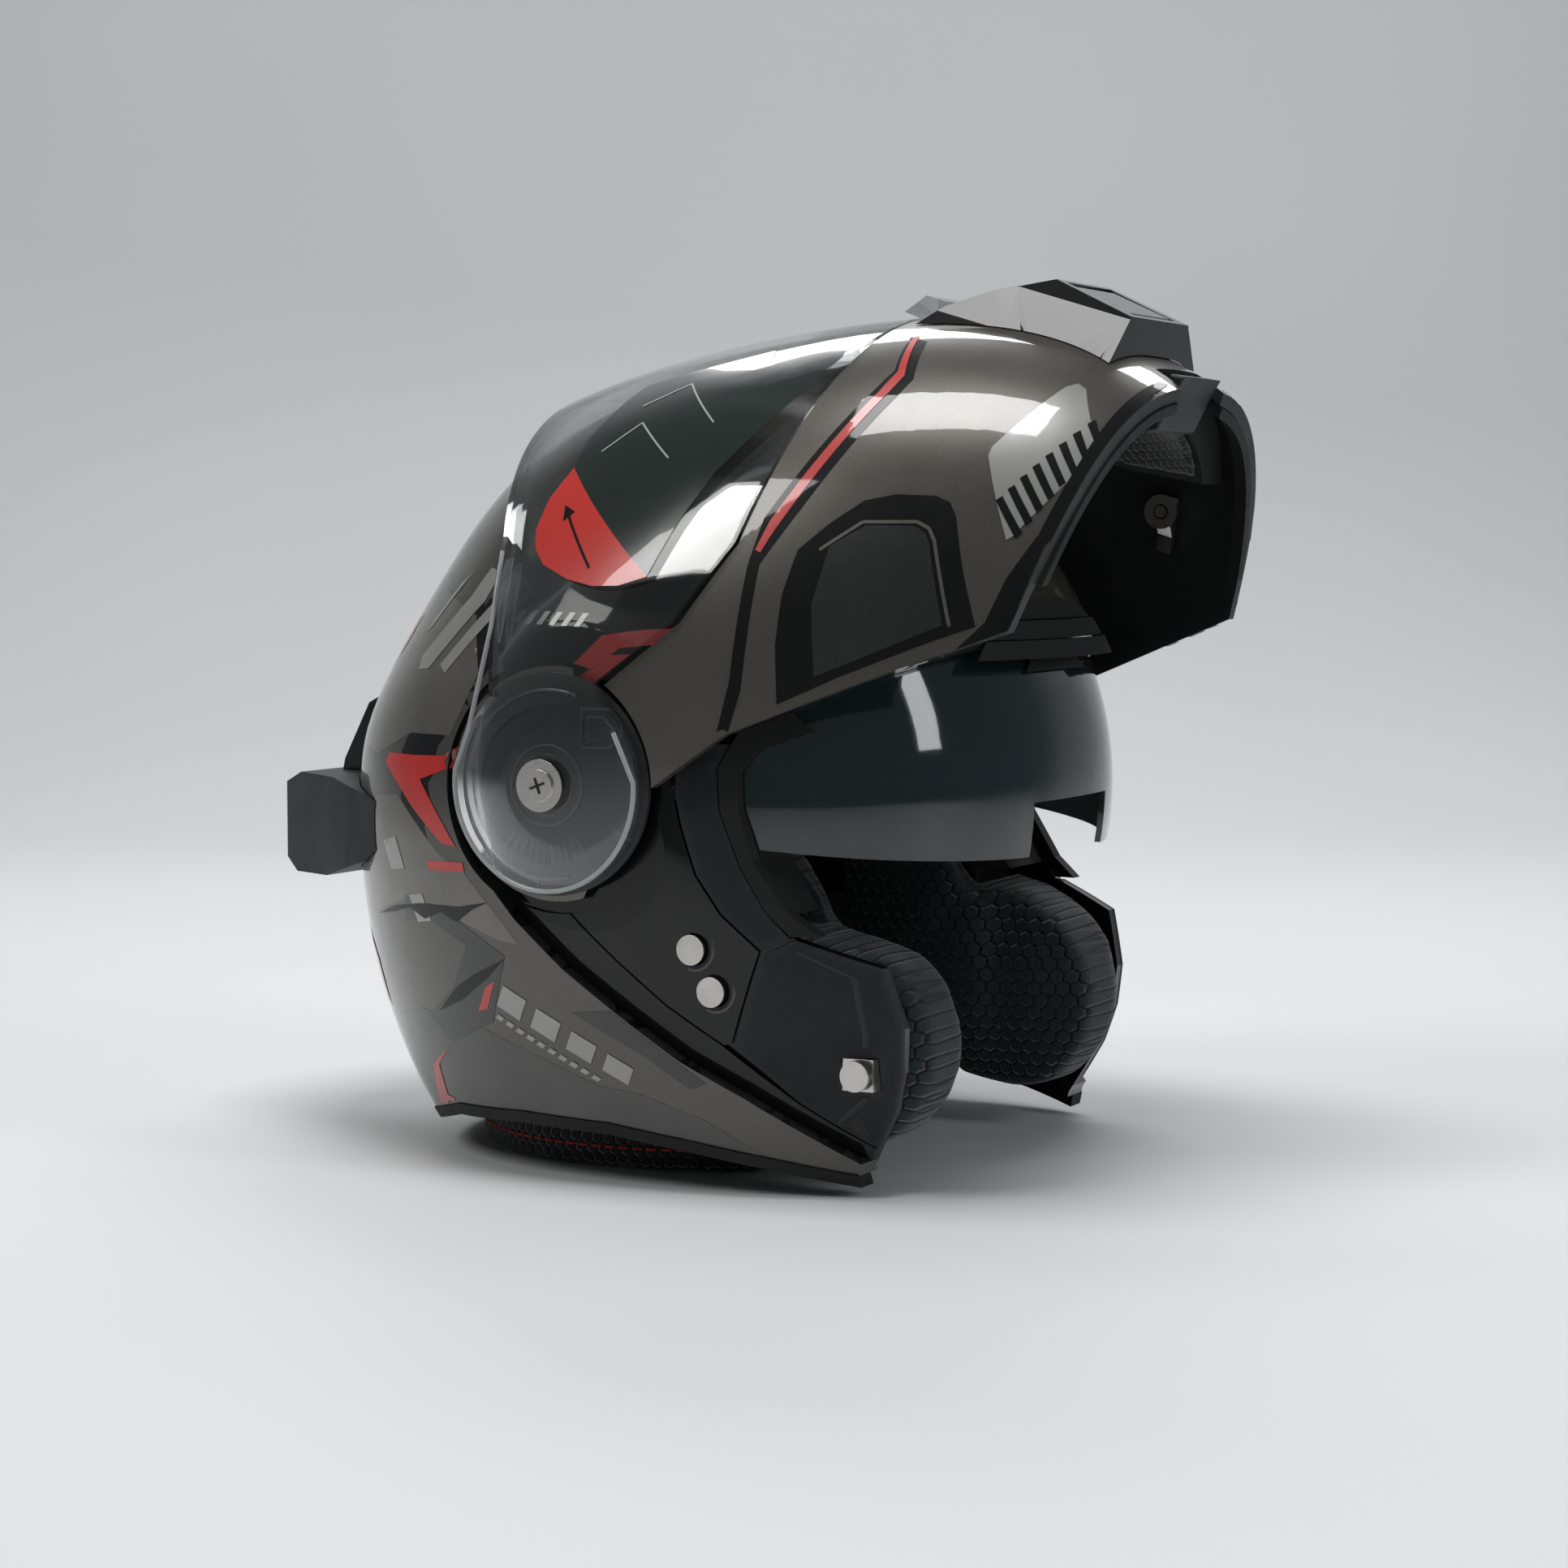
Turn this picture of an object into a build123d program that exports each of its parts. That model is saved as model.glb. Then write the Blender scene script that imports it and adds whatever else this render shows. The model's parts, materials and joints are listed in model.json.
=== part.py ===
from build123d import *
import math
import os

# Flip-up motorcycle helmet, millimetres.
# Design frame: the origin is midway between the two main pivots, +X forward, +Y to the wearer's
# left, +Z up.  At the end everything is moved so that the origin is the bottom centre.

# ---- driving dimensions -------------------------------------------------------------------
SHELL_HALF_WIDTH = 124.0     # outer shell, beside the pivots
CHIN_HALF_WIDTH = 125.0      # chin bar arms
SHIELD_HALF_WIDTH = 127.8    # clear shield, which lies outside the arms
SHELL_WALL = 4.0
CHIN_WALL = 4.0
SHIELD_WALL = 2.3
VISOR_WALL = 2.0
FLOOR = -128.0               # surface that the helmet rests on
CHIN_OPENING = 73.0          # degrees from locked to fully raised
PIVOT = (0.0, 0.0)           # main pivot in the side view (x, z)
VISOR_PIVOT = (16.0, -6.0)   # pivot of the inner sun visor (x, z)
VISOR_RADIUS = 111.5         # outside of the sun visor, from its own pivot
VISOR_HALF_WIDTH = 111.5
POCKET_FACE = 115.3          # flat floor of the pivot pocket, from the mid-plane
PLATE_FACE = 116.8           # outer face of the side plates beside the pivot
HUB_RADIUS = 37.0
ARM_END_RADIUS = 34.0        # rounded end of the shield's arm
POCKET_RADIUS = 40.0
FRONT_TAPER = 0.05           # how much the sides draw in towards the chin

# Side profiles: (direction in degrees from +X, radius from the main pivot) on the mid-plane.
SHELL_PROFILE = [(-170, 128), (-150, 136), (-130, 152), (-100, 176), (-75, 186), (-50, 196),
                 (-30, 180), (-12, 152), (5, 136), (22, 130), (40, 129.5), (65, 129.5),
                 (90, 129), (115, 123), (138, 114.5), (158, 116.5), (175, 124)]
CHIN_PROFILE = [(-170, 150), (-125, 168), (-100, 182), (-75, 202), (-50, 215), (-38, 212),
                (-28, 198), (-20, 184), (-12, 170), (-3, 156), (8, 144), (22, 136), (36, 133),
                (60, 133), (90, 134), (135, 136), (165, 142)]

# Side outlines (x, z).
STRIP_OUTER = [(-28, -26), (-13, -43), (4, -58), (22, -71), (42, -85), (62, -96), (84, -110),
               (96, -118)]
STRIP_INNER = [(3, -39), (20, -54), (37, -68), (55, -80), (77, -98), (101, -115)]
RIM = [(59, 18), (53.5, 6), (55, -7), (62, -24), (70, -38), (77, -45.5)]
PLATE_LINE = [(41, -4), (43, -12), (48, -27), (56, -39), (68, -50)]
CHEEK_FRONT = [(103, -55), (108, -74), (107, -88), (103, -101), (93, -119)]
BROW = (124, 46)             # front of the shell's brow on the mid-plane
BOTTOM_EDGE = [(-150, -124), (-111, -124), (-51, -108), (-19, -106.5), (14, -107.5),
               (43, -111.5), (72, -116.5), (96, -121.2)]
FAR = 320.0                  # beyond every surface

SECTION_STEP = 20            # degrees between the points of one section
SECTION_HEIGHTS = [0.0, 0.35, 0.62, 0.8, 0.91, 0.97, 0.995]


# ---- shapes shared by the helmet's curved pieces ------------------------------------------
def radius_at(profile, angle):
    """Radius of a closed side profile in one direction, smooth through its points."""
    points = sorted(profile)
    count = len(points)
    later = next((i for i, (a, _) in enumerate(points) if a > angle), count)
    knots = []
    for k in range(later - 2, later + 2):
        turns, index = divmod(k, count)
        knots.append((points[index][0] + 360 * turns, points[index][1]))
    (a0, r0), (a1, r1), (a2, r2), (a3, r3) = knots
    t = (angle - a1) / (a2 - a1)
    slope1 = (r2 - r0) / (a2 - a0) * (a2 - a1)
    slope2 = (r3 - r1) / (a3 - a1) * (a2 - a1)
    return ((2 * t**3 - 3 * t**2 + 1) * r1 + (t**3 - 2 * t**2 + t) * slope1
            + (3 * t**2 - 2 * t**3) * r2 + (t**3 - t**2) * slope2)


def squareness(angle):
    """Exponent of the cross curve: fuller at the chin, rounder over the crown and the nape."""
    return 2.05 + 0.6 * ((1 + math.cos(math.radians(angle + 55))) / 2) ** 2


def side_height(angle, share, half_width):
    """Distance from the mid-plane at a share of the profile radius."""
    power = squareness(angle)
    front = max(0.0, math.cos(math.radians(angle + 35)))
    return half_width * (1 - share**power) ** (1 / power) * (1 - FRONT_TAPER * front * share**2)


def share_at(angle, y, half_width):
    low, high = 0.0, 1.0
    for _ in range(40):
        middle = (low + high) / 2
        if side_height(angle, middle, half_width) > y:
            low = middle
        else:
            high = middle
    return low


def form(profile, half_width, offset=0.0):
    """Closed helmet form, offset from its nominal surface."""
    half = half_width + offset
    sections = []
    for height in [-h for h in reversed(SECTION_HEIGHTS[1:])] + SECTION_HEIGHTS:
        points = []
        for angle in range(-180, 180, SECTION_STEP):
            share = share_at(angle, abs(height) * half, half)
            reach = share * (radius_at(profile, angle) + offset)
            turn = math.radians(angle)
            points.append((reach * math.cos(turn), height * half, reach * math.sin(turn)))
        sections.append(Face(Wire([Spline(*points, periodic=True)])))
    return loft(sections)


def shell_form(offset=0.0):
    return form(SHELL_PROFILE, SHELL_HALF_WIDTH, offset)


def chin_form(offset=0.0):
    return form(CHIN_PROFILE, CHIN_HALF_WIDTH, offset)


def shield_form(offset=0.0):
    return form(CHIN_PROFILE, SHIELD_HALF_WIDTH, offset)


def side_prism(outline, y0=-FAR, y1=FAR):
    """Side outline (x, z) pulled along Y."""
    corners = [(x, y0, z) for x, z in outline]
    face = Face(Wire(Polyline(*corners, close=True).edges()))
    return extrude(face, amount=y1 - y0, dir=(0, 1, 0))


def plan_prism(outline, z0, z1):
    """Plan outline (x, y) pulled along Z."""
    corners = [(x, y, z0) for x, y in outline]
    face = Face(Wire(Polyline(*corners, close=True).edges()))
    return extrude(face, amount=z1 - z0, dir=(0, 0, 1))


def disc(x, z, radius, y0, y1):
    """Round along Y at (x, z), from y0 to y1."""
    start = Plane(origin=(x, min(y0, y1), z), x_dir=(1, 0, 0), z_dir=(0, 1, 0))
    return extrude(start * Circle(radius), amount=abs(y1 - y0))


def block(x0, x1, y0, y1, z0, z1):
    return Pos((x0 + x1) / 2, (y0 + y1) / 2, (z0 + z1) / 2) * Box(x1 - x0, y1 - y0, z1 - z0)


def slab(half_width):
    """Everything within half_width of the mid-plane."""
    return block(-FAR, FAR, -half_width, half_width, -FAR, FAR)


def ellipsoid(centre, radii):
    ball = scale(Sphere(1.0), by=radii)
    return Pos(*centre) * ball


def joined(*shapes):
    """One node made of separate solids."""
    solids = [solid for shape in shapes for solid in shape.solids()]
    return Compound(children=solids)


def mirrored(shape):
    return mirror(shape, Plane.XZ)


def one_side(shape, side):
    """The half of a shape on one side: side is +1 for left, -1 for right."""
    near, far = sorted((side * 0.5, side * FAR))
    return shape & block(-FAR, FAR, near, far, -FAR, FAR)


SIDES = (("right", -1), ("left", 1))


# ---- outer shell and what is fixed to it --------------------------------------------------
face_opening = side_prism(RIM + CHEEK_FRONT + [(93, -FAR), (FAR, -FAR), (FAR, 135), BROW])
below_edge = side_prism(BOTTOM_EDGE + [(96, -FAR), (-FAR, -FAR), (-FAR, -124)])
recess = side_prism(STRIP_OUTER + [(FAR, -118), (FAR, 60), RIM[0], (40, 14), (-20, 14)])
sector = side_prism([(0, 0), (38, -81), (140, -60), (140, 60), (40, 110), (-42, 79)])

outer = shell_form()
recess_outer = shell_form(-7.1) & slab(POCKET_FACE)
recess_inner = shell_form(-10.0) & slab(POCKET_FACE - 2.9)
STUDS = [(47, -50), (53, -63)]
STUD_RADIUS = 4.75
STUD_HEIGHT = 1.2
PIN_BASE = (90.5, 101.0, 92.0, 98.6, -93.0, -83.0)   # square base of each striker pin


def pin_base(side, gap=0.0, open_out=False):
    """The pin's base, or with a gap the seat for it, which may be open outwards."""
    x0, x1, y0, y1, z0, z1 = PIN_BASE
    outer_face = FAR if open_out else y1 + gap
    low, high = sorted((side * (y0 - gap), side * outer_face))
    return block(x0 - gap, x1 + gap, low, high, z0 - gap, z1 + gap)


def pocket_zone(radius, y_from):
    """Round pocket beside each pivot, widened where the arms and the shield swing."""
    parts = []
    for side in (-1, 1):
        parts.append(disc(*PIVOT, POCKET_RADIUS, side * y_from, side * FAR))
        parts.append(disc(*PIVOT, radius, side * y_from, side * FAR) & sector)
    return parts


def make_outer_shell():
    rear = outer - shell_form(-SHELL_WALL) - recess
    front = ((recess_outer - recess_inner) & recess) - visor_body(1.2)
    wall_band = side_prism(STRIP_OUTER + [(x - 2.4, z - 3.0) for x, z in reversed(STRIP_OUTER)])
    wall = (outer - recess_inner) & wall_band
    shell = rear + front + wall
    for piece in pocket_zone(62.0, POCKET_FACE):
        shell = shell - piece
    for side in (-1, 1):
        floor = disc(*PIVOT, 64.0, side * (POCKET_FACE - 3), side * POCKET_FACE)
        shell = shell + ((floor & shell_form(-1.0)) - recess)
        shell = shell - disc(*PIVOT, 6.8, side * 100, side * FAR)
        shell = shell - disc(*VISOR_PIVOT, 3.0, side * 100, side * FAR)
        shell = shell - pin_base(side, 0.15, open_out=True)
        for x, z in STUDS:
            shell = shell - disc(x, z, STUD_RADIUS + 0.1, side * 105, side * FAR)
    shell = shell - face_opening - below_edge
    return shell - block(-24.4, 24.4, 100, FAR, -103.4, -91.6)


def plate_layer():
    """Thin layer that lies on the recessed front of the shell."""
    skin = (shell_form(-5.5) & slab(PLATE_FACE)) - (shell_form(-6.7) & slab(POCKET_FACE + 0.4))
    for side in (-1, 1):
        skin = skin - disc(*PIVOT, POCKET_RADIUS + 1, side * 60, side * FAR)
        skin = skin - pin_base(side, 0.15, open_out=True)
        for x, z in STUDS:
            skin = skin - disc(x, z, STUD_RADIUS + 0.4, side * 60, side * FAR)
    return skin - face_opening - below_edge


def make_side_pieces():
    """Gloss side plate, matte eyeport surround, matte cheek plate and edge strip, each side."""
    layer = plate_layer()
    strip_in = STRIP_INNER[:4]
    outlines = {
        "side_plate": strip_in + [(57.4, -79.3)] + PLATE_LINE[::-1] + [(38, 0), (0, 0)],
        "eyeport_surround": [(x + 0.6, z + 0.4) for x, z in PLATE_LINE]
                            + [(78.4, -45.5), (90, -45.5), (57.5, 13.4), (40.5, 13.2)],
        "cheek_plate": [(69.4, -51), (78.6, -46.3), (112, -46.3), (112, -120), (104, -117.5),
                        STRIP_INNER[4], (59, -81)],
        "edge_strip": [(x + 0.4, z + 0.4) for x, z in STRIP_OUTER]
                      + [(x - 0.4, z - 0.5) for x, z in STRIP_INNER[::-1]],
    }
    pieces = {}
    for name, outline in outlines.items():
        both = layer & side_prism(outline)
        for word, side in SIDES:
            pieces[f"{name}_{word}"] = one_side(both, side)
    return pieces


def make_gasket():
    """Rubber seal along the eyeport's top and sides."""
    band = side_prism([(59.4, 17.2), (124.4, 45.2), (131, 45.2), (131, 38), (66, 12), (60.5, 5),
                       (61, -6), (66, -22), (77, -38), (86, -45), (77.8, -45.2), (70.6, -38),
                       (62.6, -24), (55.6, -7), (54.1, 6)])
    return (((shell_form(-5.0) - shell_form(-10.0)) & slab(PLATE_FACE)) & band) - visor_body(1.2)


def make_brow_trim():
    """Three stacked ridges above the visor, at the middle of the brow."""
    ridges = []
    for step in range(3):
        top = 56.5 - 6.2 * step
        band = block(117, 150, -FAR, FAR, top - 5.8, top)
        ridges.append((shell_form(1.2 + 0.6 * step) - shell_form(0.4)) & band)
    return joined(*ridges)


def make_lower_trim():
    """Rubber bead under the shell's lower edge."""
    drop = [(x, z - 4.0) for x, z in BOTTOM_EDGE[1:]]
    band = side_prism([(-150, -124.1)] + [(x, z - 0.1) for x, z in BOTTOM_EDGE[1:]]
                      + drop[::-1] + [(-150, FLOOR)])
    return ((shell_form(0.6) - shell_form(-6.0)) & band) - face_opening


def make_studs():
    """Two steel studs in ringed recesses on each side plate."""
    studs = []
    for side in (-1, 1):
        for (x, z), foot in zip(STUDS, (115.5, 113.6)):
            studs.append(disc(x, z, STUD_RADIUS, side * foot, side * (foot + STUD_HEIGHT)))
    return joined(*studs)


def make_striker_pins():
    """Latch pins that the hooks of the chin bar pull against, on square bases."""
    pins = []
    for side in (-1, 1):
        pin = disc(96, -88, 3.4, side * 97.0, side * 100.8)
        pin = pin + disc(96, -88, 4.8, side * 100.8, side * 102.0)
        pins.append(pin + pin_base(side))
    return joined(*pins)


def make_spoiler():
    taper = plan_prism([(-80, -58), (-80, 58), (-138, 40), (-138, -40)], -60, 40)
    base = side_prism([(-95, 30), (-118, 20), (-131, 0), (-136, -18), (-134, -34), (-95, -44)])
    base = (base & taper) - shell_form(0.3)
    half_plan = [(-64, 108), (-82, 97), (-102, 84), (-126, 67), (-150, 50), (-164, 28), (-167, 0)]
    wing_plan = plan_prism(half_plan + [(x, -y) for x, y in half_plan[-2::-1]], -60, 40)
    wing = side_prism([(-62, -17), (-84, -9), (-112, -4), (-138, -4), (-158, -11), (-166, -18),
                       (-153, -33), (-142, -39), (-118, -38), (-92, -31)])
    wing = (wing & wing_plan) - base - shell_form(0.3)
    return base, max(wing.solids(), key=lambda solid: solid.volume)


# ---- lining -------------------------------------------------------------------------------
HEAD = (2, 0, -4)            # centre of the head cavity
CAVITY = (90, 79, 99)        # half sizes of the cavity in the energy liner


def head_space(shrink, bottom):
    """Round-topped space for the head, open downwards."""
    radii = tuple(size - shrink for size in CAVITY)
    column = Pos(HEAD[0], 0, 0) * extrude(Ellipse(radii[0], radii[1]), amount=bottom - HEAD[2])
    return ellipsoid(HEAD, radii) + Pos(0, 0, HEAD[2]) * column


def visor_body(margin):
    """Solid of revolution under the sun visor's outer surface, grown by a margin."""
    radius, half = VISOR_RADIUS + margin, VISOR_HALF_WIDTH + margin
    power = 2.4
    points = []
    for step in range(13):
        y = half * math.sin(math.radians(90 * step / 12))
        reach = radius * (1 - (y / half) ** power) ** (1 / power)
        points.append((VISOR_PIVOT[0], y, VISOR_PIVOT[1] + reach))
    curve = Spline(*points, tangents=[(0, 1, 0), (0, 0, -1)])
    centre = (VISOR_PIVOT[0], 0, VISOR_PIVOT[1])
    spindle = Axis(centre, (0, 1, 0))
    edges = [curve, Line(points[-1], centre), Line(centre, points[0])]
    half_body = revolve(Face(Wire(edges)), axis=spindle)
    return half_body + mirrored(half_body)


def make_eps_liner():
    liner = shell_form(-10.8) - head_space(0, -160)
    for side in (-1, 1):
        liner = liner - pin_base(side, 0.3)
        liner = liner - disc(*PIVOT, 66.0, side * 104, side * FAR)
    a, b = VISOR_PIVOT
    swing = side_prism([(a, b), (a + FAR, b - 150), (a + FAR, b + 300), (a + 20, b + FAR)])
    liner = liner - (swing - visor_body(-VISOR_WALL - 1.5)) - block(40, FAR, -76, 76, -FAR, -22)
    liner = liner - block(58, FAR, -FAR, FAR, -FAR, -40)
    liner = liner - face_opening - side_prism([(-FAR, -104), (FAR, -104), (FAR, -FAR), (-FAR, -FAR)])
    return max(liner.solids(), key=lambda solid: solid.volume)


def make_crown_pad():
    pad = ellipsoid(HEAD, tuple(size - 0.6 for size in CAVITY))
    pad = pad - ellipsoid(HEAD, tuple(size - 8 for size in CAVITY))
    pad = pad & block(-FAR, FAR, -FAR, FAR, -12, FAR)
    return pad - block(60, FAR, -FAR, FAR, -FAR, 30)


CHEEK_BACK = [(18, -22), (50, -20), (70, -46), (92, -56), (92, -103), (40, -103), (18, -98)]
CHEEK_SIDE = [(59, -43), (78, -47), (97, -55), (98, -100), (92, -113), (59, -112)]
CHEEK_NOSE = [(59, -43), (78, -47), (100, -54), (109, -67), (112, -83), (109, -98), (99, -111),
              (84, -116), (59, -112)]


def make_cheek_pad(side):
    """Thick cushion beside the cheek, whose nose reaches forward past the cheek plate."""
    def layer(outline, inner, outer):
        return side_prism(outline, *sorted((side * inner, side * outer)))

    back = layer(CHEEK_BACK, 46, 77.5) & head_space(1.0, -160)
    nose = (layer(CHEEK_SIDE, 60, 110) + layer(CHEEK_NOSE, 50, 85)) & shell_form(-11.4)
    return (back + nose) - pin_base(side, 0.5)


def make_neck_roll():
    ring = extrude(Pos(-4, 0, FLOOR) * Ellipse(82, 84), amount=19)
    ring = ring - extrude(Pos(-4, 0, FLOOR) * Ellipse(62, 62), amount=19)
    ring = ring & block(-FAR, 48, -FAR, FAR, -FAR, FAR)
    return chamfer(ring.faces().sort_by(Axis.Z)[-1].edges(), 4)


# ---- chin strap ---------------------------------------------------------------------------
STRAP_HALF = 10.0            # half of the webbing's width
STRAP_RUN = [(76.5, -66), (73, -96), (44, -115)]


def make_strap(side, end):
    """Webbing from its anchor down to the buckle, as a bent strip."""
    run = STRAP_RUN + [(end, -116)]
    outer_line = [(side * y, z) for y, z in run]
    inner_line = [(side * (y - 1.2), z + 1.4) for y, z in run]
    corners = [(-STRAP_HALF, y, z) for y, z in outer_line + inner_line[::-1]]
    strip = Face(Wire(Polyline(*corners, close=True).edges()))
    return extrude(strip, amount=2 * STRAP_HALF, dir=(1, 0, 0))


def make_strap_anchors():
    anchors = []
    for side in (-1, 1):
        plate = block(-13, 13, min(side * 76.8, side * 78.4), max(side * 76.8, side * 78.4), -74, -52)
        anchors.append(plate & head_space(0.4, -160))
    return joined(*anchors)


def make_buckle():
    housing = block(-13, 13, -34, -4, -119, -110) - block(-10.4, 10.4, -12, -3, -117.4, -113)
    housing = housing - block(-10.4, 10.4, -40, -26, -117.6, -113.6)
    tongue = block(-10, 10, -11.5, 12, -117, -113.4)
    lever = block(-9, 9, -30, -12, -109.6, -107.4)
    return housing, tongue, lever


# ---- sun visor ----------------------------------------------------------------------------
def make_sun_visor():
    skin = visor_body(0.0) - visor_body(-VISOR_WALL)
    outline = side_prism([(16, -13), (52, -18), (90, -22), (122, -25), (150, -27), (150, 46),
                          (100, 44), (60, 24), (30, 6), (16, 1)])
    nose = side_prism([(90, -40), (150, -40), (150, -6), (90, -10)]) & plan_prism(
        [(90, -27), (90, 27), (150, 33), (150, -33)], -60, 0)
    visor = (skin & outline) - nose
    for side in (-1, 1):
        visor = visor + disc(*VISOR_PIVOT, 7.0, side * (VISOR_HALF_WIDTH - 3), side * VISOR_HALF_WIDTH)
        visor = visor - disc(*VISOR_PIVOT, 3.6, side * 100, side * FAR)
    return visor


def make_visor_pins():
    """Shouldered pins in the shell that the sun visor turns on."""
    pins = []
    for side in (-1, 1):
        pin = disc(*VISOR_PIVOT, 2.98, side * 105.0, side * (POCKET_FACE - 0.1))
        pin = pin + disc(*VISOR_PIVOT, 6.0, side * 105.0, side * 108.0)
        pins.append(pin)
    return joined(*pins)


SLIDER_TRAVEL = 20.0


def make_slider():
    track = block(-24, 24, 110, 116.8, -103, -92) - block(-20, 20, 115, 120, -99, -96)
    knob = block(-17, -3, 117.5, 120.5, -102, -93)
    for x in (-14, -10, -6):
        knob = knob - block(x - 0.7, x + 0.7, 119.7, 121, -110, -90)
    knob = knob + block(-15, -5, 115.7, 117.6, -98.3, -96.7)
    return track, knob


# ---- chin bar, drawn locked and then raised -----------------------------------------------
CHIN_OUTLINE = [(10, -35), (34, -54), (53, -78), (71, -101), (89, -125), (130, -126.5),
                (FAR, -126.5), (FAR, -38), (90, -38), (62, -29), (35, -10), (0, 0)]


HUB_DOME_RADIUS = 185.0


def hub_dome(side, top):
    """Shallow dome about the pivot axis, so that the shield's arm turns over the hub freely."""
    return Pos(0, side * (top - HUB_DOME_RADIUS), 0) * Sphere(HUB_DOME_RADIUS)


def make_chin_shell():
    blank = side_prism(CHIN_OUTLINE)
    for side in (-1, 1):
        blank = blank + disc(*PIVOT, HUB_RADIUS, side * 60, side * FAR)
    shell = (chin_form() - chin_form(-CHIN_WALL)) & blank
    for side in (-1, 1):
        shell = shell + disc(*PIVOT, 30.0, side * 118.2, side * 120.0)
        shell = shell - (disc(*PIVOT, HUB_RADIUS + 0.8, side * 90, side * FAR) - hub_dome(side, 122.3))
        shell = shell - disc(*PIVOT, 5.0, side * 100, side * FAR)
    shell = shell - block(148, 173, -19, 19, -FAR, -116)
    return shell - block(150, FAR, -24, 24, -101, -82)


def make_chin_liner():
    """Energy liner behind the chin, hollowed for the mouth."""
    span = side_prism([(130, -52), (FAR, -46), (FAR, -114), (134, -114), (130, -84)])
    liner = (chin_form(-4.6) - chin_form(-18)) & span
    liner = liner - block(130, FAR, -26, 26, -FAR, -108)
    return liner - block(130, FAR, -24, 24, -101, -82)


def make_chin_curtain():
    """Fabric lining over the inside of the chin bar's energy liner."""
    span = side_prism([(132, -54), (FAR, -48), (FAR, -112), (136, -112), (132, -84)])
    return (chin_form(-18.4) - chin_form(-21.5)) & span


def make_chin_edging():
    """Rubber edging under the lower edge of the chin bar, behind and before the lever."""
    span = side_prism([(104, -121.5), (FAR, -121.5), (FAR, -127.2), (104, -127.2)])
    edging = (chin_form(-4.3) - chin_form(-7.5)) & span
    return edging - block(140, FAR, -20, 20, -FAR, FAR)


def make_vent_housing():
    outline = side_prism([(140, -39), (160, -39), (172, -48), (181, -60), (189.5, -77), (185, -106),
                          (140, -112)])
    plan = plan_prism([(120, -62), (120, 62), (150, 50), (170, 38), (184, 26), (196, 20),
                       (196, -20), (184, -26), (170, -38), (150, -50)], -140, 0)
    housing = (outline & plan) - chin_form(0.3)
    housing = max(housing.solids(), key=lambda solid: solid.volume)
    pocket = side_prism([(179.9, -78.8), (FAR, -78.8), (FAR, -103.6), (177.3, -103.6)], -19, 19)
    return housing - pocket


def make_vent_flap():
    return side_prism([(184.1, -80.8), (188.6, -80.8), (185.5, -102.2), (182.3, -102.2)], -18.4, 18.4)


def make_ratchet_plates(side):
    """Toothed quick-release plate in the hub that holds the shield."""
    plate = disc(*PIVOT, HUB_RADIUS - 2, side * 110, side * FAR) & hub_dome(side, 124.2)
    plate = plate - hub_dome(side, 122.6)
    groove = disc(*PIVOT, 24.5, side * 110, side * FAR) - disc(*PIVOT, 13.0, side * 110, side * FAR)
    plate = plate - (groove - hub_dome(side, 123.4))
    return plate - disc(*PIVOT, 5.0, side * 100, side * FAR)


def make_hinge_pins():
    """Shouldered steel pins of the chin bar, each clamped to its arm and turning in the shell."""
    pins = []
    for side in (-1, 1):
        pin = disc(*PIVOT, 6.0, side * 111.0, side * 118.1)
        pin = pin + disc(*PIVOT, 8.4, side * 110.6, side * 111.6)
        pin = pin + disc(*PIVOT, 4.95, side * 118.1, side * 124.0)
        pins.append(pin)
    return joined(*pins)


def make_release_lever():
    return side_prism([(151, -117.5), (158, -117), (171, -120.5), (171.5, -125.5), (166, -124),
                       (153, -121.5)], -17, 17)


HOOK_HINGE = (118.0, -92.0)


def make_latch_hook(side):
    """Cranked hook that reaches back over the cheek plate towards the striker pin."""
    plan = [(104, 96.4), (104, 98.2), (110, 95.4), (116, 91.4), (124, 90.2), (124, 88.2),
            (114, 88.2), (110, 93.2)]
    hook = plan_prism([(x, side * y) for x, y in plan], -97, -91.5)
    hook = hook + disc(*HOOK_HINGE, 6.0, side * 88.2, side * 90.4)
    return hook - disc(*HOOK_HINGE, 2.7, side * 60, side * FAR)


def make_hook_pins():
    return joined(*[disc(*HOOK_HINGE, 2.1, side * 88.0, side * 93.8) for side in (-1, 1)])


# ---- shield -------------------------------------------------------------------------------
SHIELD_OUTLINE = [(10, -32.5), (36, -8.6), (62, -27.4), (90, -36.8), (FAR, -36.8), (FAR, 233),
                  (66, 48), (20, 27.5), (0, 0)]


def make_face_shield():
    blank = side_prism(SHIELD_OUTLINE)
    for side in (-1, 1):
        blank = blank + disc(*PIVOT, ARM_END_RADIUS, side * 60, side * FAR)
    shield = (shield_form() - shield_form(-SHIELD_WALL)) & blank
    tab = side_prism([(163.5, -36.8), (172, -36.8), (172, -30), (165, -24)], -13, 13)
    shield = shield + (tab - shield_form(-1.0))
    for side in (-1, 1):
        shield = shield - disc(*PIVOT, 4.2, side * 100, side * FAR)
    return shield


def make_shield_screws():
    screws = []
    for side in (-1, 1):
        screw = disc(*PIVOT, 8.2, side * 127.3, side * 128.2)
        screw = screw + disc(*PIVOT, 5.0, side * 128.2, side * 129.2)
        screw = screw + disc(*PIVOT, 4.1, side * 124.6, side * 127.3)
        screws.append(screw)
    return joined(*screws)


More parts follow.
